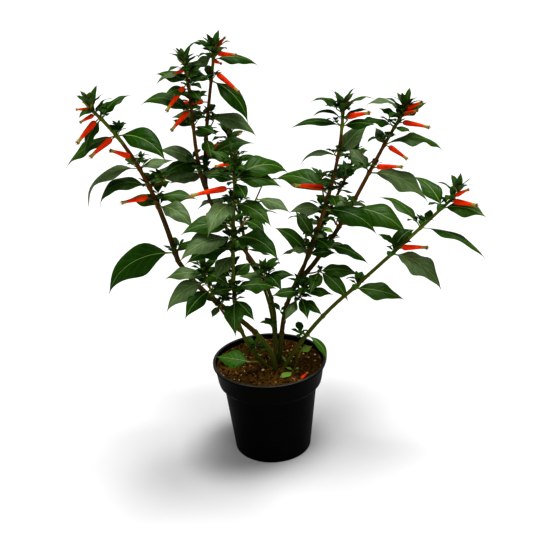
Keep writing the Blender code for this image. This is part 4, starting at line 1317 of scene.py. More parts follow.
@dataclass
class LeafMaker:
    """Models one flat leaf and bends copies of it to their places.

    Attributes:
        stations: points along the leaf.
        lanes: places across it, as shares of the half width, with the midrib's two in the middle.
        width: greatest width over length.
        petiole: the stalk's share of the length.
        petiole_half: half the stalk's width.
        rib_half: half the midrib's width at its foot.
        fold: how steeply the two halves rise from the midrib.
        arch: how far the margins bend down again.
        wave: height of the waves in the margin, against the half width.
        wave_count: the range of their number along the blade.
        thickness: the blade's thickness.
        swell: how slowly the blade widens from the stalk.
        taper: how slowly it narrows to the tip.
        sway: how far it may bend and twist sideways.
        vary: the seeded range of the waves' height, against the usual.
        fold_vary: the same for the fold.
        grown: the length from which rib and blade have their full thickness.
        stalk_grown: the same for the stalk.
        blank: the flat leaf, once it is modelled.
    """

    stations: int = 19
    lanes: tuple[float, ...] = (-1.0, -0.8, -0.55, -0.28, -0.05, 0.05, 0.28, 0.55, 0.8, 1.0)
    width: float = 0.395
    petiole: float = 0.09
    petiole_half: float = 0.75 * MM
    rib_half: float = 0.5 * MM
    fold: float = 0.45
    arch: float = 0.54
    wave: float = 0.24
    wave_count: Float2 = (1.5, 2.8)
    thickness: float = 0.34 * MM
    swell: float = 1.25
    taper: float = 1.85
    sway: float = 14.0
    vary: Float2 = (0.3, 1.2)
    fold_vary: Float2 = (0.5, 1.2)
    grown: float = 45 * MM
    stalk_grown: float = 40 * MM
    blank: Blank | None = None

    def model(self) -> None:
        """Model the flat leaf: a grid whose rows are stations and columns lanes, made solid."""
        deselect_all()
        bpy.ops.mesh.primitive_grid_add(
            x_subdivisions=self.stations - 1, y_subdivisions=len(self.lanes) - 1, size=2)
        flat = bpy.context.object
        for vertex in flat.data.vertices:
            station = round((vertex.co.x + 1) / 2 * (self.stations - 1))
            lane = round((vertex.co.y + 1) / 2 * (len(self.lanes) - 1))
            vertex.co.x = station / (self.stations - 1)
            vertex.co.y = self.lanes[lane]
        solid = flat.modifiers.new("thickness", "SOLIDIFY")
        solid.thickness = 2.0
        solid.offset = 0.0
        apply_all(flat)
        rib = min(abs(lane) for lane in self.lanes)
        for face in flat.data.polygons:
            upper = face.normal.z >= 0.5
            if face.center.x < self.petiole or upper and abs(face.center.y) < rib:
                face.material_index = 2
            elif not upper:
                face.material_index = 1
        self.blank = Blank.take(flat)

    def half_width(self, share: Array, length: float, broad: float) -> Array:
        """Return the half width along a leaf: a stalk, then a tapered blade.

        Args:
            share: shares of the leaf's length.
            length: its length.
            broad: how broad it is against the usual leaf of its kind.

        Returns:
            The half width at each share.
        """
        least = 0.12 * MM
        t = np.clip((share - self.petiole) / (1 - self.petiole), 0, 1)
        peak = self.swell / (self.swell + self.taper)
        top = peak ** self.swell * (1 - peak) ** self.taper
        blade = t ** self.swell * (1 - t) ** self.taper / top * length * self.width * broad / 2
        stalk = self.petiole_half * min(1.0, length / self.stalk_grown) * (1 - t)
        return np.maximum(np.maximum(blade, stalk), least)

    def spine(self, leaf: Leaf, sway: float, twist: float) -> tuple[list[Vector], ...]:
        """Grow a leaf's midrib.

        Args:
            leaf: the leaf.
            sway: how far it bends sideways along its length.
            twist: how far it turns about itself.

        Returns:
            The point, the direction across and the direction up at each station.
        """
        sway_from, twist_from = 0.4, 0.3
        count, steps = self.stations, 4
        stride = leaf.length / (count - 1) / steps
        spot = leaf.start
        centres, sides, ups = [], [], []
        for i in range(count):
            share = i / (count - 1)
            along = unit(leaf.heading + sway * (share - sway_from), leaf.angle(share))
            side = Vector((-along.y, along.x, 0)).normalized()
            roll = math.radians(leaf.roll + twist * (share - twist_from))
            side = Matrix.Rotation(roll, 3, along) @ side
            centres.append(spot.copy())
            sides.append(side)
            ups.append(along.cross(side))
            for k in range(steps):
                at = (i + (k + 0.5) / steps) / (count - 1)
                spot = spot + unit(leaf.heading + sway * (at - sway_from), leaf.angle(at)) * stride
        return centres, sides, ups

    def bend(self, leaf: Leaf) -> tuple[Array, Array]:
        """Bend a copy of the flat leaf to its place.

        Args:
            leaf: the leaf.

        Returns:
            The vertices and their UV places.
        """
        rib_taper, rib_share, thin_to, thin_edge = 0.8, 0.24, 0.45, 0.55
        stalk_run, stalk_depth, wave_lag = 1.6, 1.3, 0.8
        rng = rng_of(tuple(round(c, 6) for c in (*leaf.start, leaf.heading, leaf.length)))
        sway = rng.uniform(-self.sway, self.sway)
        twist = rng.uniform(-self.sway, self.sway)
        phase = rng.uniform(0, math.tau)
        waves = rng.uniform(*self.wave_count)
        wave = self.wave * rng.uniform(*self.vary) / max(1.0, leaf.broad) ** 2
        fold = self.fold * rng.uniform(*self.fold_vary)
        flat = self.blank.coords
        share = flat[:, 0]
        row = np.rint(share * (self.stations - 1)).astype(int)
        centres, sides, ups = (np.array(part)[row] for part in self.spine(leaf, sway, twist))
        half = self.half_width(share, leaf.length, leaf.broad)
        grown = min(1.0, leaf.length / self.grown)
        rib = np.minimum(self.rib_half * (1 - rib_taper * share) * grown, half * rib_share)
        on_rib = np.abs(flat[:, 1]) <= min(abs(lane) for lane in self.lanes) * 1.01
        across = np.where(on_rib, np.sign(flat[:, 1]) * rib, flat[:, 1] * half)
        v = across / half
        height = half * (fold * np.abs(v) - self.arch * v * v)
        turn = math.tau * waves * share + phase + np.sign(v) * wave_lag
        height += half * wave * v * v * np.sin(turn)
        thick = self.thickness * max(thin_to, grown) * (1 - thin_edge * np.abs(v))
        stalk = np.clip(1 - share / (self.petiole * stalk_run), 0, 1)
        thick = thick + self.petiole_half * stalk_depth * stalk * min(1.0, leaf.length / self.stalk_grown)
        height += flat[:, 2] * thick / 2
        coords = centres + sides * across[:, None] + ups * height[:, None]
        return coords, np.stack([share, v / 2 + 0.5], 1)


@dataclass
class Foliage:
    """All leaves, joined by tint.

    Attributes:
        makers: what models the leaves of each size.
    """

    makers: dict[Size, LeafMaker] = field(default_factory=lambda: {
        Size.BLADE: LeafMaker(),
        Size.TUFT: LeafMaker(stations=12, lanes=(-1.0, -0.6, -0.08, 0.08, 0.6, 1.0), width=0.30,
                             petiole=0.04, arch=0.3, fold=0.5, wave=0.2, swell=1.0, taper=1.15),
        Size.AXIL: LeafMaker(stations=10, lanes=(-1.0, -0.6, -0.08, 0.08, 0.6, 1.0), width=0.44,
                             petiole=0.1, arch=0.3, fold=0.4, wave=0.2, taper=1.3),
    })

    def build(self, leaves: Sequence[Leaf]) -> None:
        """Bend every leaf, join those of each tint, and present the pieces.

        Args:
            leaves: the leaves that grew.
        """
        for maker in self.makers.values():
            maker.model()
        piles: dict[tuple[Shade, bool], Pile] = {}
        for leaf in leaves:
            maker = self.makers[leaf.size]
            coords, uvs = maker.bend(leaf)
            piles.setdefault((leaf.shade, leaf.size is Size.AXIL), Pile()).add(maker.blank, coords, uvs)
        masses = list(SHOOTS)
        for (shade, axil), pile in piles.items():
            name = "leaves_" + shade.name.lower() + ("_axils" if axil else "")
            present(pile.build(name, (shade.value, LEAF_UNDER, shade.rib)), "foliage", *masses)
            masses = []


# Stems

# How limbs ripen from the foot up: the share of the length at which a stage ends.
BOUGH_STAGES = ((0.32, Stage.OLIVE), (math.inf, Stage.BROWN))
GREEN_BOUGH = ((1.0, Stage.OLIVE), (math.inf, Stage.BROWN))
SHORT_STAGES = ((0.6, Stage.REDDISH), (math.inf, Stage.TIP))
LONG_STAGES = ((0.3, Stage.BROWN), (0.86, Stage.REDDISH), (math.inf, Stage.TIP))
GREEN_STAGES = ((0.55, Stage.OLIVE), (math.inf, Stage.TIP))
OLIVE_STAGES = ((math.inf, Stage.OLIVE),)
STAGES = {
    "stem_front": GREEN_BOUGH, "stem_far_right": GREEN_BOUGH,
    "stem_back_left": ((0.42, Stage.OLIVE), (math.inf, Stage.BROWN)),
    "stem_rear": ((0.6, Stage.OLIVE), (math.inf, Stage.BROWN)),
    "leaves_left": ((0.3, Stage.BROWN), (0.74, Stage.REDDISH), (math.inf, Stage.TIP)),
    "leaves_far_right": GREEN_STAGES, "leaves_foot": GREEN_STAGES,
    "leaves_foot_right": GREEN_STAGES, "leaves_rim_right": GREEN_STAGES,
    "leaves_front": OLIVE_STAGES, "leaves_rear": OLIVE_STAGES}


@dataclass
class Bark:
    """Round stems with swollen joints and fine ribs.

    Attributes:
        sides: sides of a bough or shoot.
        twig_sides: sides of a twig.
        spacing: distance between rings.
        swelling: how much thicker a joint is.
        joint: half the length of the swelling.
        relief: depth of the ribs and knobs against the radius.
        root: how far a stem reaches back into what carries it.
        bough_joints: shares of a bough's length where it has a joint.
        short_shoot: the length in millimetres under which a shoot has no brown foot.
        short_twig: the length in millimetres up to which a twig is green.
        usual_girth: how thick the bark makes a limb against its solid.
        girth: the same for the limbs that differ.
    """

    sides: int = 16
    twig_sides: int = 8
    spacing: float = 1.6 * MM
    swelling: float = 0.32
    joint: float = 1.8 * MM
    relief: float = 0.06
    root: float = 1.0 * MM
    bough_joints: tuple[float, ...] = (0.33, 0.66)
    short_shoot: float = 100.0
    short_twig: float = 12.0
    usual_girth: float = 1.06
    girth: dict[str, float] = field(default_factory=lambda: {
        "stem_far_right": 1.22, "leaves_far_right": 1.25, "stem_left": 1.14, "leaves_left": 1.16})

    def stage_at(self, name: str, share: float) -> Stage:
        """Return how ripe a limb is at a share of its length."""
        usual = BOUGH_STAGES
        if name in SHOOTS:
            usual = SHORT_STAGES if SHOOTS[name].stem.length < self.short_shoot else LONG_STAGES
        return next(stage for end, stage in STAGES.get(name, usual) if share < end)

    def tube(self, pile: Pile, line: Line, sides: int, joints: Sequence[float], name: str = "",
             stage: Stage | None = None, back: float = 0.0) -> None:
        """Add one stem to a pile.

        Args:
            pile: what it is joined to.
            line: the stem's line.
            sides: the number of sides.
            joints: shares of the length where leaves grow.
            name: the limb's name, which sets how ripe it is.
            stage: how ripe it is all along, in place of the name.
            back: how far it reaches back from its foot.
        """
        flutes, flute_turn, knobs_in_metre = 4, 9.0, 400.0
        length = line.limb.length * MM
        girth = self.girth.get(name, self.usual_girth)
        rings = max(3, round((length + back) / self.spacing) + 1)
        blank = tube_blank(rings, sides)
        shares = np.linspace(-back / length, 1, rings)
        coords = np.empty((rings * sides, 3))
        side = line.directions[0].orthogonal()
        turns = np.arange(sides) * math.tau / sides
        for i, share in enumerate(shares):
            point, along = line.at(share)
            if share < 0:
                point = point + along * (share * length)
            side = (side - along * side.dot(along)).normalized()
            other = along.cross(side)
            swell = sum(math.exp(-((share - j) * length / self.joint) ** 2) for j in joints)
            radius = line.radius(max(share, 0)) * girth * (1 + self.swelling * min(swell, 1.0))
            ribs = 1 + self.relief * 0.5 * np.cos(flutes * turns + share * flute_turn)
            climb = share * length * knobs_in_metre
            knobs = [noise.noise(Vector((math.cos(t), math.sin(t), climb))) for t in turns]
            ribs = ribs + self.relief * np.array(knobs)
            ring = np.outer(np.cos(turns) * ribs, side) + np.outer(np.sin(turns) * ribs, other)
            coords[i * sides:(i + 1) * sides] = np.array(point) + ring * radius
        order = list(Stage)
        kinds = [order.index(stage or self.stage_at(name, max(share, 0))) for share in shares]
        walls = np.repeat(kinds[:-1], sides)
        slots = np.concatenate([walls, [kinds[0], kinds[-1]]]).astype(int)
        pile.add(blank, coords, tube_uvs(sides, shares * length), slots)

    def build(self, growth: Growth) -> None:
        """Make each bough as a piece, and the shoots' stems and the twigs as joined pieces.

        Args:
            growth: the grown limbs.
        """
        finishes = [stage.value for stage in Stage]
        for name in BOUGHS:
            pile = Pile()
            self.tube(pile, growth.lines[name], self.sides, self.bough_joints, name, back=4 * self.root)
            piece = pile.build(name.replace("stem_", "bark_"), finishes)
            present(piece, "stem", name)
        pile = Pile()
        for name, shoot in SHOOTS.items():
            joints = [node.at for node in shoot.nodes]
            self.tube(pile, growth.lines[name], self.sides, joints, name, back=self.root)
        present(pile.build("shoot_stems", finishes), "stem")
        pile = Pile()
        for line in growth.twigs:
            stage = Stage.REDDISH if line.limb.length > self.short_twig else Stage.TIP
            self.tube(pile, line, self.twig_sides, (), stage=stage)
        present(pile.build("side_twigs", finishes), "stem")


# Flowers

@dataclass
class FlowerMaker:
    """Models one tubular flower along X and bends copies of it to their places.

    The flower runs from 0 at the foot of its tube to 1 at its mouth, and its
    radii are in millimetres.

    Attributes:
        sides: sides of the tube.
        stalk: the stalk's share of the whole length.
        rings: radius and place along the tube.
        throat: the same inside the mouth, with the radius against the mouth's.
        lip_from: the place where the green lip begins.
        tooth: how far each tooth of the mouth reaches out, as a share of the tube.
        flare: how far the teeth turn outwards, against the radius.
        spur: place, half length and height of the spur, which stands up from the tube's foot.
        filaments: the number of short threads that reach out of the mouth.
        droop: how far the flower bends down along its length.
        full_length: the length of a grown tube, at which the radii hold.
        blank: the straight flower, once it is modelled.
    """

    sides: int = 12
    stalk: float = 0.18
    rings: tuple[Float2, ...] = (
        (1.0, 0.0), (1.9, 0.02), (2.6, 0.07), (2.95, 0.15), (2.95, 0.27), (2.7, 0.40), (2.35, 0.54),
        (2.0, 0.68), (1.75, 0.80), (1.7, 0.88), (1.85, 0.94), (2.1, 0.985))
    throat: tuple[Float2, ...] = ((0.86, 0.985), (0.6, 0.93), (0.5, 0.84))
    lip_from: float = 0.84
    tooth: float = 0.035
    flare: float = 0.22
    spur: tuple[float, float, float] = (0.1, 0.13, 0.22)
    filaments: int = 5
    droop: float = 12.0
    full_length: float = 26 * MM
    blank: Blank | None = None

    def model(self) -> None:
        """Model the tube: a small disc extruded ring by ring into the throat, then toothed."""
        mouth = self.rings[-1][0]
        mouth_from, rim_radius, core_radius = 0.97, mouth * 0.8, mouth * 0.4
        deselect_all()
        bpy.ops.mesh.primitive_circle_add(
            vertices=self.sides, radius=self.rings[0][0], fill_type="NGON",
            rotation=(0, math.pi / 2, 0))
        tube = bpy.context.object
        bpy.ops.object.transform_apply(location=True, rotation=True, scale=True)
        edit_all()
        inner = [(mouth * radius, place) for radius, place in self.throat]
        extrude_rings([*self.rings, *inner], 0)
        close_edit()
        for vertex in tube.data.vertices:
            if vertex.co.x > mouth_from and math.hypot(vertex.co.y, vertex.co.z) > rim_radius:
                turn = math.atan2(vertex.co.z, vertex.co.y)
                point = 0.5 + 0.5 * math.cos(turn * self.sides / 2)
                vertex.co.x += self.tooth * point
                vertex.co.y *= 1 + self.flare * point
                vertex.co.z *= 1 + self.flare * point
        for face in tube.data.polygons:
            radius = math.hypot(face.center.y, face.center.z)
            inward = face.normal.y * face.center.y + face.normal.z * face.center.z < 0
            if face.center.x > self.lip_from:
                face.material_index = 2 if inward or radius < core_radius else 1
        self.blank = Blank.take(tube)

    def frames(self, bloom: Bloom, shares: Array) -> tuple[Array, Array, Array]:
        """Return points, side directions and up directions along a bloom.

        Args:
            bloom: the flower or bud.
            shares: shares of its whole length, which may pass 1 a little.

        Returns:
            Three arrays with a row for each share.
        """
        steps, furthest = 12, 1.9
        line = [bloom.start]
        for i in range(steps * 2):
            angle = bloom.rise - self.droop * (i + 0.5) / steps
            line.append(line[-1] + unit(bloom.heading, angle) * (bloom.length / steps))
        points = np.array(line)
        place = np.clip(shares, 0, furthest) * steps
        index = place.astype(int)
        share = (place - index)[:, None]
        spots = points[index] * (1 - share) + points[index + 1] * share
        side = np.array(unit(bloom.heading + 90, 0))
        alongs = np.array([unit(bloom.heading, bloom.rise - self.droop * s) for s in shares])
        return spots, np.tile(side, (len(shares), 1)), np.cross(alongs, side)

    def bend(self, bloom: Bloom) -> tuple[Array, Array]:
        """Bend a copy of the flower to its place.

        Args:
            bloom: the flower or bud.

        Returns:
            The vertices and their UV places.
        """
        flat = self.blank.coords
        share = self.stalk + flat[:, 0] * (1 - self.stalk)
        tube_length = bloom.length * (1 - self.stalk)
        slimming = 0.7
        girth = MM * min(1.0, (tube_length / self.full_length) ** slimming)
        spots, sides, ups = self.frames(bloom, share)
        place, half, height = self.spur
        spur = np.exp(-((flat[:, 0] - place) / half) ** 2) * np.maximum(flat[:, 2], 0) * height
        across = (flat[:, 1] * girth)[:, None]
        up = ((flat[:, 2] + spur) * girth)[:, None]
        coords = spots + sides * across + ups * up
        turn = np.arctan2(flat[:, 2], flat[:, 1]) / math.tau + 0.5
        return coords, np.stack([turn, share * bloom.length], 1)

    def thread(self, bloom: Bloom, number: int) -> tuple[Blank, Array]:
        """Return one thread of the mouth: the last one is longer than the others.

        Args:
            bloom: the flower.
            number: the thread's number.

        Returns:
            Its faces and vertices.
        """
        rings, sides = 5, 4
        foot, fan, first_turn = 0.93, 1.35, 0.4
        longest = number == self.filaments
        reach, spread = (0.17, 0.4 * MM) if longest else (0.07, 1.15 * MM)
        spots, side, up = self.frames(bloom, np.linspace(foot, 1.0 + reach, rings))
        turn = math.tau * number / self.filaments + first_turn
        grow = np.linspace(1.0, fan, rings)[:, None]
        spots = spots + (side * math.cos(turn) + up * math.sin(turn)) * spread * grow
        radii = np.linspace(0.22 * MM, 0.1 * MM, rings)
        return tube_blank(rings, sides), round_rings(spots, side, up, radii, sides)


@dataclass
class Blossom:
    """All flowers and buds, joined by kind.

    Attributes:
        maker: what models the flowers.
        stalk_radius: a stalk's radius at the foot and under the flower.
        bud_stalk: a bud's stalk against it.
    """

    maker: FlowerMaker = field(default_factory=FlowerMaker)
    stalk_radius: Float2 = (0.54 * MM, 0.72 * MM)
    bud_stalk: float = 0.7

    def stalk(self, pile: Pile, bloom: Bloom) -> None:
        """Add the stalk that carries one flower."""
        rings, sides, overlap = 6, 8, 0.02
        shares = np.linspace(0, self.maker.stalk + overlap, rings)
        radii = np.linspace(*self.stalk_radius, rings) * (self.bud_stalk if bloom.bud else 1)
        coords = round_rings(*self.maker.frames(bloom, shares), radii, sides)
        pile.add(tube_blank(rings, sides), coords, tube_uvs(sides, shares * bloom.length))

    def build(self, blooms: Sequence[Bloom]) -> None:
        """Bend every flower and bud and present the joined pieces.

        Args:
            blooms: the flowers and buds that grew.
        """
        self.maker.model()
        tubes, buds, stalks, threads = Pile(), Pile(), Pile(), Pile()
        for bloom in blooms:
            coords, uvs = self.maker.bend(bloom)
            (buds if bloom.bud else tubes).add(self.maker.blank, coords, uvs, 0 if bloom.bud else None)
            self.stalk(stalks, bloom)
            if not bloom.bud:
                for number in range(self.maker.filaments + 1):
                    threads.add(*self.maker.thread(bloom, number))
        present(tubes.build("flowers", (FLOWER_TUBE, FLOWER_LIP, FLOWER_THROAT)), "foliage")
        present(buds.build("buds", (BUD,)), "foliage")
        present(stalks.build("flower_stalks", (STALK,)), "foliage")
        present(threads.build("flower_threads", (FILAMENT,)), "foliage")


# Pot and soil

def near(corner: Float2, *offsets: Float2) -> list[Float2]:
    """Return points of a profile by their offsets from a corner, in millimetres."""
    return [(corner[0] + x * MM, corner[1] + z * MM) for x, z in offsets]


@dataclass
class Pot:
    """The pot: one moulded wall with a stepped band under a rolled lip.

    Attributes:
        height: from the underside to the lip's top.
        wall: the wall's thickness.
        floor: the floor's thickness.
        foot: the underside's radius.
        waist: radius and height where the body meets the band's step.
        shoulder: radius and height of the step's rounding.
        band: radius and height of the band's lower edge.
        band_top: the band's radius under the lip.
        lip: the lip's radius.
        lip_height: the lip's height.
        sides: sides of the turned shape.
        holes: the number of drain holes.
        hole_radius: a drain hole's radius.
        hole_ring: the radius of the ring that they lie on.
        hole_turn: the first one's turn, as a share of a full one.
        roll: the radius of the lip's roundings.
        heel: the radius of the rounding at the foot.
    """

    height: float
    lip: float
    wall: float = 1.2 * MM
    floor: float = 1.6 * MM
    foot: float = 43.2 * MM
    waist: Float2 = (53.4 * MM, 80.5 * MM)
    shoulder: Float2 = (58.95 * MM, 86.0 * MM)
    band: Float2 = (59.8 * MM, 89.0 * MM)
    band_top: float = 63.0 * MM
    lip_height: float = 3.6 * MM
    sides: int = 128
    holes: int = 6
    hole_radius: float = 4.0 * MM
    hole_ring: float = 31.0 * MM
    hole_turn: float = 0.5 / 36
    roll: float = 0.9 * MM
    heel: float = 1.4 * MM

    def arc(self, centre: Float2, radius: float, start: float, end: float,
            steps: int = 5) -> list[Float2]:
        """Return points on an arc of the profile.

        Args:
            centre: the arc's centre, as radius and height.
            radius: the arc's radius.
            start: the first point's angle in degrees, from outwards to up.
            end: the last point's angle.
            steps: the number of steps.

        Returns:
            The points, as radius and height.
        """
        angles = [math.radians(start + (end - start) * i / steps) for i in range(steps + 1)]
        return [(centre[0] + radius * math.cos(a), centre[1] + radius * math.sin(a)) for a in angles]

    def profile(self) -> list[Float2]:
        """Return radius and height of every ring, from the underside round the lip to the floor."""
        lip_base = self.height - self.lip_height
        inner = self.band_top - self.wall
        outer_roll = self.lip - self.roll
        top_roll = self.height - self.roll
        return [
            *near((self.foot, 0.0), (-0.6, 0.0)),
            *self.arc((self.foot - 0.2 * MM, self.heel), self.heel, -78, -8, 4),
            *near(self.waist, (-0.5, -4.0), (0.0, 0.0), (1.4, 0.9)),
            *near(self.shoulder, (-1.0, -1.1), (0.0, 0.0)),
            self.band,
            *near((self.band_top, lip_base), (-0.25, -0.6), (0.15, 0.0)),
            *self.arc((outer_roll, lip_base + self.roll), self.roll, -60, 0),
            *self.arc((outer_roll, top_roll), self.roll, 0, 90),
            *self.arc((inner + self.roll, top_roll), self.roll, 90, 180),
            *((radius - self.wall, z + 0.7 * MM) for radius, z in (self.band, self.shoulder, self.waist)),
            *near((self.foot, self.floor), (-0.4, 1.0), (-1.4, 0.0))]

    def build(self) -> None:
        """Extrude the profile ring by ring, drill the drain holes and present the pot."""
        smooth_to = math.radians(35)
        highlight_depth = 1.2 * MM
        rings = self.profile()
        deselect_all()
        bpy.ops.mesh.primitive_circle_add(vertices=self.sides, radius=rings[0][0], fill_type="NGON")
        pot = bpy.context.object
        pot.name = "pot_body"
        edit_all()
        extrude_rings(rings, 2)
        close_edit()
        self.drill(pot)
        pick(pot)
        bpy.ops.object.shade_smooth_by_angle(angle=smooth_to)
        # Faces on the top of the lip get the painted highlight.
        for face in pot.data.polygons:
            if face.center.z > self.height - highlight_depth and face.normal.z > 0.2:
                face.material_index = 1
        pot.data.materials.append(POT_BLACK.build())
        pot.data.materials.append(POT_RIM_HIGHLIGHT.build())
        present(pot, "pot_plastic", "pot")

    def drill(self, pot: Piece) -> None:
        """Cut the drain holes through the floor."""
        for i in range(self.holes):
            turn = math.tau * (i / self.holes + self.hole_turn)
            deselect_all()
            bpy.ops.mesh.primitive_cylinder_add(
                vertices=24, radius=self.hole_radius, depth=self.floor * 4,
                location=(self.hole_ring * math.cos(turn), self.hole_ring * math.sin(turn), 0))
            cutter = bpy.context.object
            cut = pot.modifiers.new("drain", "BOOLEAN")
            cut.operation = "DIFFERENCE"
            cut.solver = "EXACT"
            cut.object = cutter
            apply_all(pot)
            bpy.data.objects.remove(cutter, do_unlink=True)


def scatter(rng: Random, radius: float) -> Float2:
    """Draw a place in a disc of this radius, evenly over its area."""
    r = radius * math.sqrt(rng.random())
    turn = rng.uniform(0, math.tau)
    return r * math.cos(turn), r * math.sin(turn)


@dataclass
class Soil:
    """Damp compost that fills the pot: a rough surface with crumbs, pale grains and litter.

    Attributes:
        top: the height of the soil round the stems.
        radius: the radius at the wall.
        bottom: the height of its underside.
        wall: radius and height of its side where the pot's wall bends.
        bottom_radius: the radius at the underside.
        sink: how much lower it lies at the wall.
        level: the radius within which it is level.
        sectors: sectors of the surface.
        rings: rings of the surface.
        rough: height in millimetres and waves in a metre of each layer of roughness.
        crumbs: the number of crumbs.
        pale_grains: the number of pale grains.
        flakes: the number of dry flakes.
        flake_places: where the first ones lie, in millimetres.
    """

    top: float
    radius: float
    bottom: float
    wall: tuple[Float2, ...] = (
        (58.0 * MM, 90.2 * MM), (57.1 * MM, 87.2 * MM), (51.6 * MM, 80.5 * MM))
    bottom_radius: float = 41.7 * MM
    sink: float = 1.0 * MM
    level: float = 36.0 * MM
    sectors: int = 200
    rings: int = 70
    rough: tuple[Float2, ...] = ((1.5, 85.0), (1.0, 230.0), (0.55, 620.0))
    crumbs: int = 1500
    pale_grains: int = 80
    flakes: int = 16
    flake_places: tuple[Float2, ...] = (
        (1, 7), (13, 15), (10, -14), (26, -42), (-22, -10), (58, 3), (-1, 4), (15, 12), (-40, -6))

    def height(self, x: float, y: float) -> float:
        """Return the height of the rough surface at a place."""
        r = math.hypot(x, y)
        base = self.top - self.sink * min(1.0, max(0.0, (r - self.level) / (self.radius - self.level)))
        rough = sum(high * noise.noise(Vector((x, y, 0.0)) * scale) for high, scale in self.rough)
        calm = min(1.0, (self.radius - r) / (1.5 * MM))
        return base + rough * calm * MM

    def build_surface(self) -> None:
        """Extrude a disc's rim inwards ring by ring, roughen it, and close it down to the pot's floor."""
        deselect_all()
        bpy.ops.mesh.primitive_circle_add(
            vertices=self.sectors, radius=self.radius, fill_type="NOTHING", location=(0, 0, self.top))
        soil = bpy.context.object
        soil.name = "soil_surface"
        bpy.ops.object.transform_apply(location=True, rotation=True, scale=True)
        edit_all()
        radii = [self.radius * (1 - i / self.rings) for i in range(self.rings)]
        extrude_rings([(radius, self.top) for radius in radii], 2)
        bpy.ops.mesh.merge(type="CENTER")
        bpy.ops.object.mode_set(mode="OBJECT")
        for vertex in soil.data.vertices:
            x, y, _ = vertex.co
            vertex.co.z = self.height(x, y)
            vertex.select = math.hypot(x, y) > self.radius * 0.999
        for edge in soil.data.edges:
            edge.select = all(soil.data.vertices[i].select for i in edge.vertices)
        bpy.ops.object.mode_set(mode="EDIT")
        rim = (self.radius, self.top - self.sink)
        extrude_rings([rim, *self.wall, (self.bottom_radius, self.bottom)], 2)
        bpy.ops.mesh.edge_face_add()
        close_edit()
        for face in soil.data.polygons:
            face.use_smooth = True
        soil.data.materials.append(SOIL_DAMP.build())
        present(soil, "soil", "soil")

    def build_crumbs(self) -> None:
        """Strew crumbs and pale grains over the surface."""
        reach, tilt, knob, knob_scale, lift = 0.985, 40, 0.28, 1.6, 0.25
        shares = {"dark": 0.58, "brown": 0.36, "tan": 0.06}
        spans = ((0.7, 1.3), (0.7, 1.3), (0.5, 1.0))
        deselect_all()
        bpy.ops.mesh.primitive_ico_sphere_add(subdivisions=2, radius=1.0)
        ball = Blank.take(bpy.context.object)
        rng = Random(SEED)
        crumbs = Pile()
        for i in range(self.crumbs + self.pale_grains):
            pale = i >= self.crumbs
            power, spread, least = (2, 1.1, 0.2) if pale else (3, 1.5, 0.22)
            x, y = scatter(rng, self.radius * reach)
            size = rng.uniform(0.3, 1.0) ** power * spread + least
            shape = np.array([rng.uniform(*span) for span in spans]) * size * MM
            spin = np.array(Matrix.Rotation(rng.uniform(0, math.tau), 3, unit(rng.uniform(0, 360), tilt)))
            spots = (Vector(v) * knob_scale + Vector((i, 0, 0)) for v in ball.coords)
            knobs = np.array([1 + knob * noise.noise(spot) for spot in spots])
            coords = (ball.coords * knobs[:, None] * shape) @ spin.T
            coords += np.array([x, y, self.height(x, y) + size * lift * MM])
            slot = 3 if pale else rng.choices(range(3), list(shares.values()))[0]
            crumbs.add(ball, coords, slots=slot)
        piece = crumbs.build("soil_crumbs", (CRUMB_DARK, CRUMB_BROWN, CRUMB_TAN, GRAIN_PALE))
        present(piece, "soil")

    def build_litter(self) -> None:
        """Strew dry flakes where they lie in the photograph, and a few more at random."""
        spread, lift, waist, point = 54, 1.1, 0.25, 0.5
        deselect_all()
        bpy.ops.mesh.primitive_grid_add(x_subdivisions=5, y_subdivisions=3, size=2)
        flake = bpy.context.object
        solid = flake.modifiers.new("thickness", "SOLIDIFY")
        solid.thickness = 0.16
        apply_all(flake)
        blank = Blank.take(flake)
        u, v, w = blank.coords.T
        rng = Random(SEED + 1)
        places = list(self.flake_places)
        places += [scatter(rng, spread) for _ in range(self.flakes - len(places))]
        pile = Pile()
        for x, y in places:
            long = rng.uniform(1.6, 3.6)
            wide = long * rng.uniform(0.35, 0.6)
            curl = long * rng.uniform(0.2, 0.5)
            across = v * wide * (1 - point * u ** 2)
            shape = np.stack([u * long * (1 - waist * v ** 2), across, w + curl * u ** 2], 1) * MM
            tip = Matrix.Rotation(math.radians(rng.uniform(-35, 35)), 3, "Y")
            spin = np.array(Matrix.Rotation(rng.uniform(0, math.tau), 3, "Z") @ tip)
            spot = np.array([x * MM, y * MM, self.height(x * MM, y * MM) + lift * MM])
            pile.add(blank, shape @ spin.T + spot)
        present(pile.build("soil_litter", (LITTER,)), "soil")

    def build(self) -> None:
        """Build the surface and what lies on it."""
        self.build_surface()
        self.build_crumbs()
        self.build_litter()


# Studio

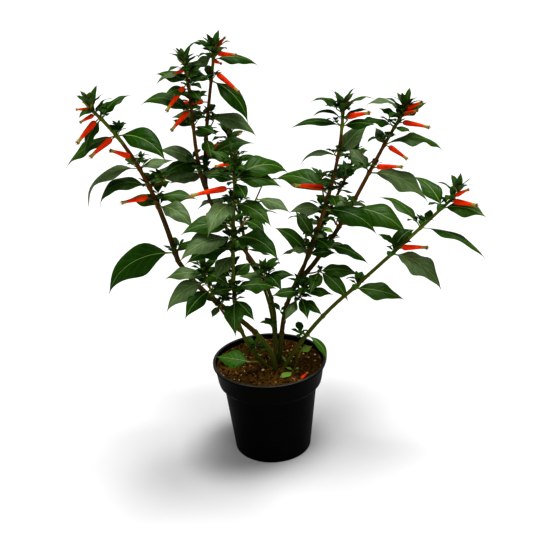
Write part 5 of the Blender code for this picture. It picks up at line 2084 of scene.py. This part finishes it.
@dataclass
class Studio:
    """Camera, floor and light.

    Attributes:
        camera_place: the camera's place.
        pitch: how far it looks down.
        yaw: how far it is turned from +Y to the left.
        roll: how far it leans to its right.
        focal_pixels: focal length in pixels of the square picture.
        picture: the picture's width in pixels.
        sensor: the camera's sensor width in millimetres.
        floor_size: the floor's width.
        lights: name, direction that it comes from, width in degrees and strength of each light.
        surroundings: the strength of the white light from all round.
    """

    camera_place: tuple[float, float, float] = (0.0, -0.9236, 0.6094)
    pitch: float = 22.53
    yaw: float = -0.12
    roll: float = 2.8
    focal_pixels: float = 909.0
    picture: float = 533.0
    sensor: float = 36.0
    floor_size: float = 12.0
    lights: tuple[tuple, ...] = (
        ("overhead", (0.14, 0.08, 1.0), 34, 3.6), ("front_fill", (-0.35, -1.0, 0.45), 100, 1.0))
    surroundings: float = 0.18

    def add_camera(self) -> None:
        """Place the camera that sees the plant as the photograph does."""
        data = bpy.data.cameras.new("camera")
        camera = link("camera", data)
        turn = Matrix.Rotation(math.radians(self.yaw), 4, "Z")
        tip = Matrix.Rotation(math.radians(90 - self.pitch), 4, "X")
        lean = Matrix.Rotation(math.radians(-self.roll), 4, "Z")
        camera.matrix_world = Matrix.Translation(self.camera_place) @ turn @ tip @ lean
        data.sensor_width = self.sensor
        data.lens = self.sensor * self.focal_pixels / self.picture
        data.clip_start = 0.01
        bpy.context.scene.camera = camera

    def add_light(self, name: str, place: Sequence[float], spread: float, power: float) -> None:
        """Add a wide soft light, the same everywhere.

        Args:
            name: the light's name.
            place: the direction that it shines from.
            spread: how wide it looks from the plant, in degrees.
            power: its strength.
        """
        data = bpy.data.lights.new(name, "SUN")
        data.angle = math.radians(spread)
        data.energy = power
        link(name, data).rotation_euler = Vector(place).to_track_quat("Z", "Y").to_euler()

    def build(self) -> None:
        """Set up camera, floor, lights and the pale surroundings."""
        self.add_camera()
        deselect_all()
        bpy.ops.mesh.primitive_plane_add(size=self.floor_size)
        floor = bpy.context.object
        floor.name = "floor"
        floor.data.materials.append(FLOOR.build())
        for light in self.lights:
            self.add_light(*light)
        world = bpy.data.worlds.new("surroundings")
        world.use_nodes = True
        background = world.node_tree.nodes["Background"]
        background.inputs["Color"].default_value = (1.0, 1.0, 1.0, 1.0)
        background.inputs["Strength"].default_value = self.surroundings
        bpy.context.scene.world = world
        bpy.context.scene.view_settings.view_transform = "Standard"
        bpy.context.scene.view_settings.look = "Medium High Contrast"


def main() -> None:
    """Build the pot, the soil, the stems, the leaves and the blossom, and the studio."""
    logging.basicConfig(level=logging.INFO, format="%(message)s")
    _, pot_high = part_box("pot")
    soil_low, soil_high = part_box("soil")
    Studio().build()
    Pot(height=pot_high.z, lip=pot_high.x).build()
    Soil(top=soil_high.z, radius=soil_high.x, bottom=soil_low.z).build()
    growth = Growth(soil_top=soil_high.z)
    growth.grow()
    log.info("%d leaves, %d flowers and buds", len(growth.leaves), len(growth.blooms))
    Bark().build(growth)
    Foliage().build(growth.leaves)
    Blossom().build(growth.blooms)


if __name__ == "__main__":
    main()
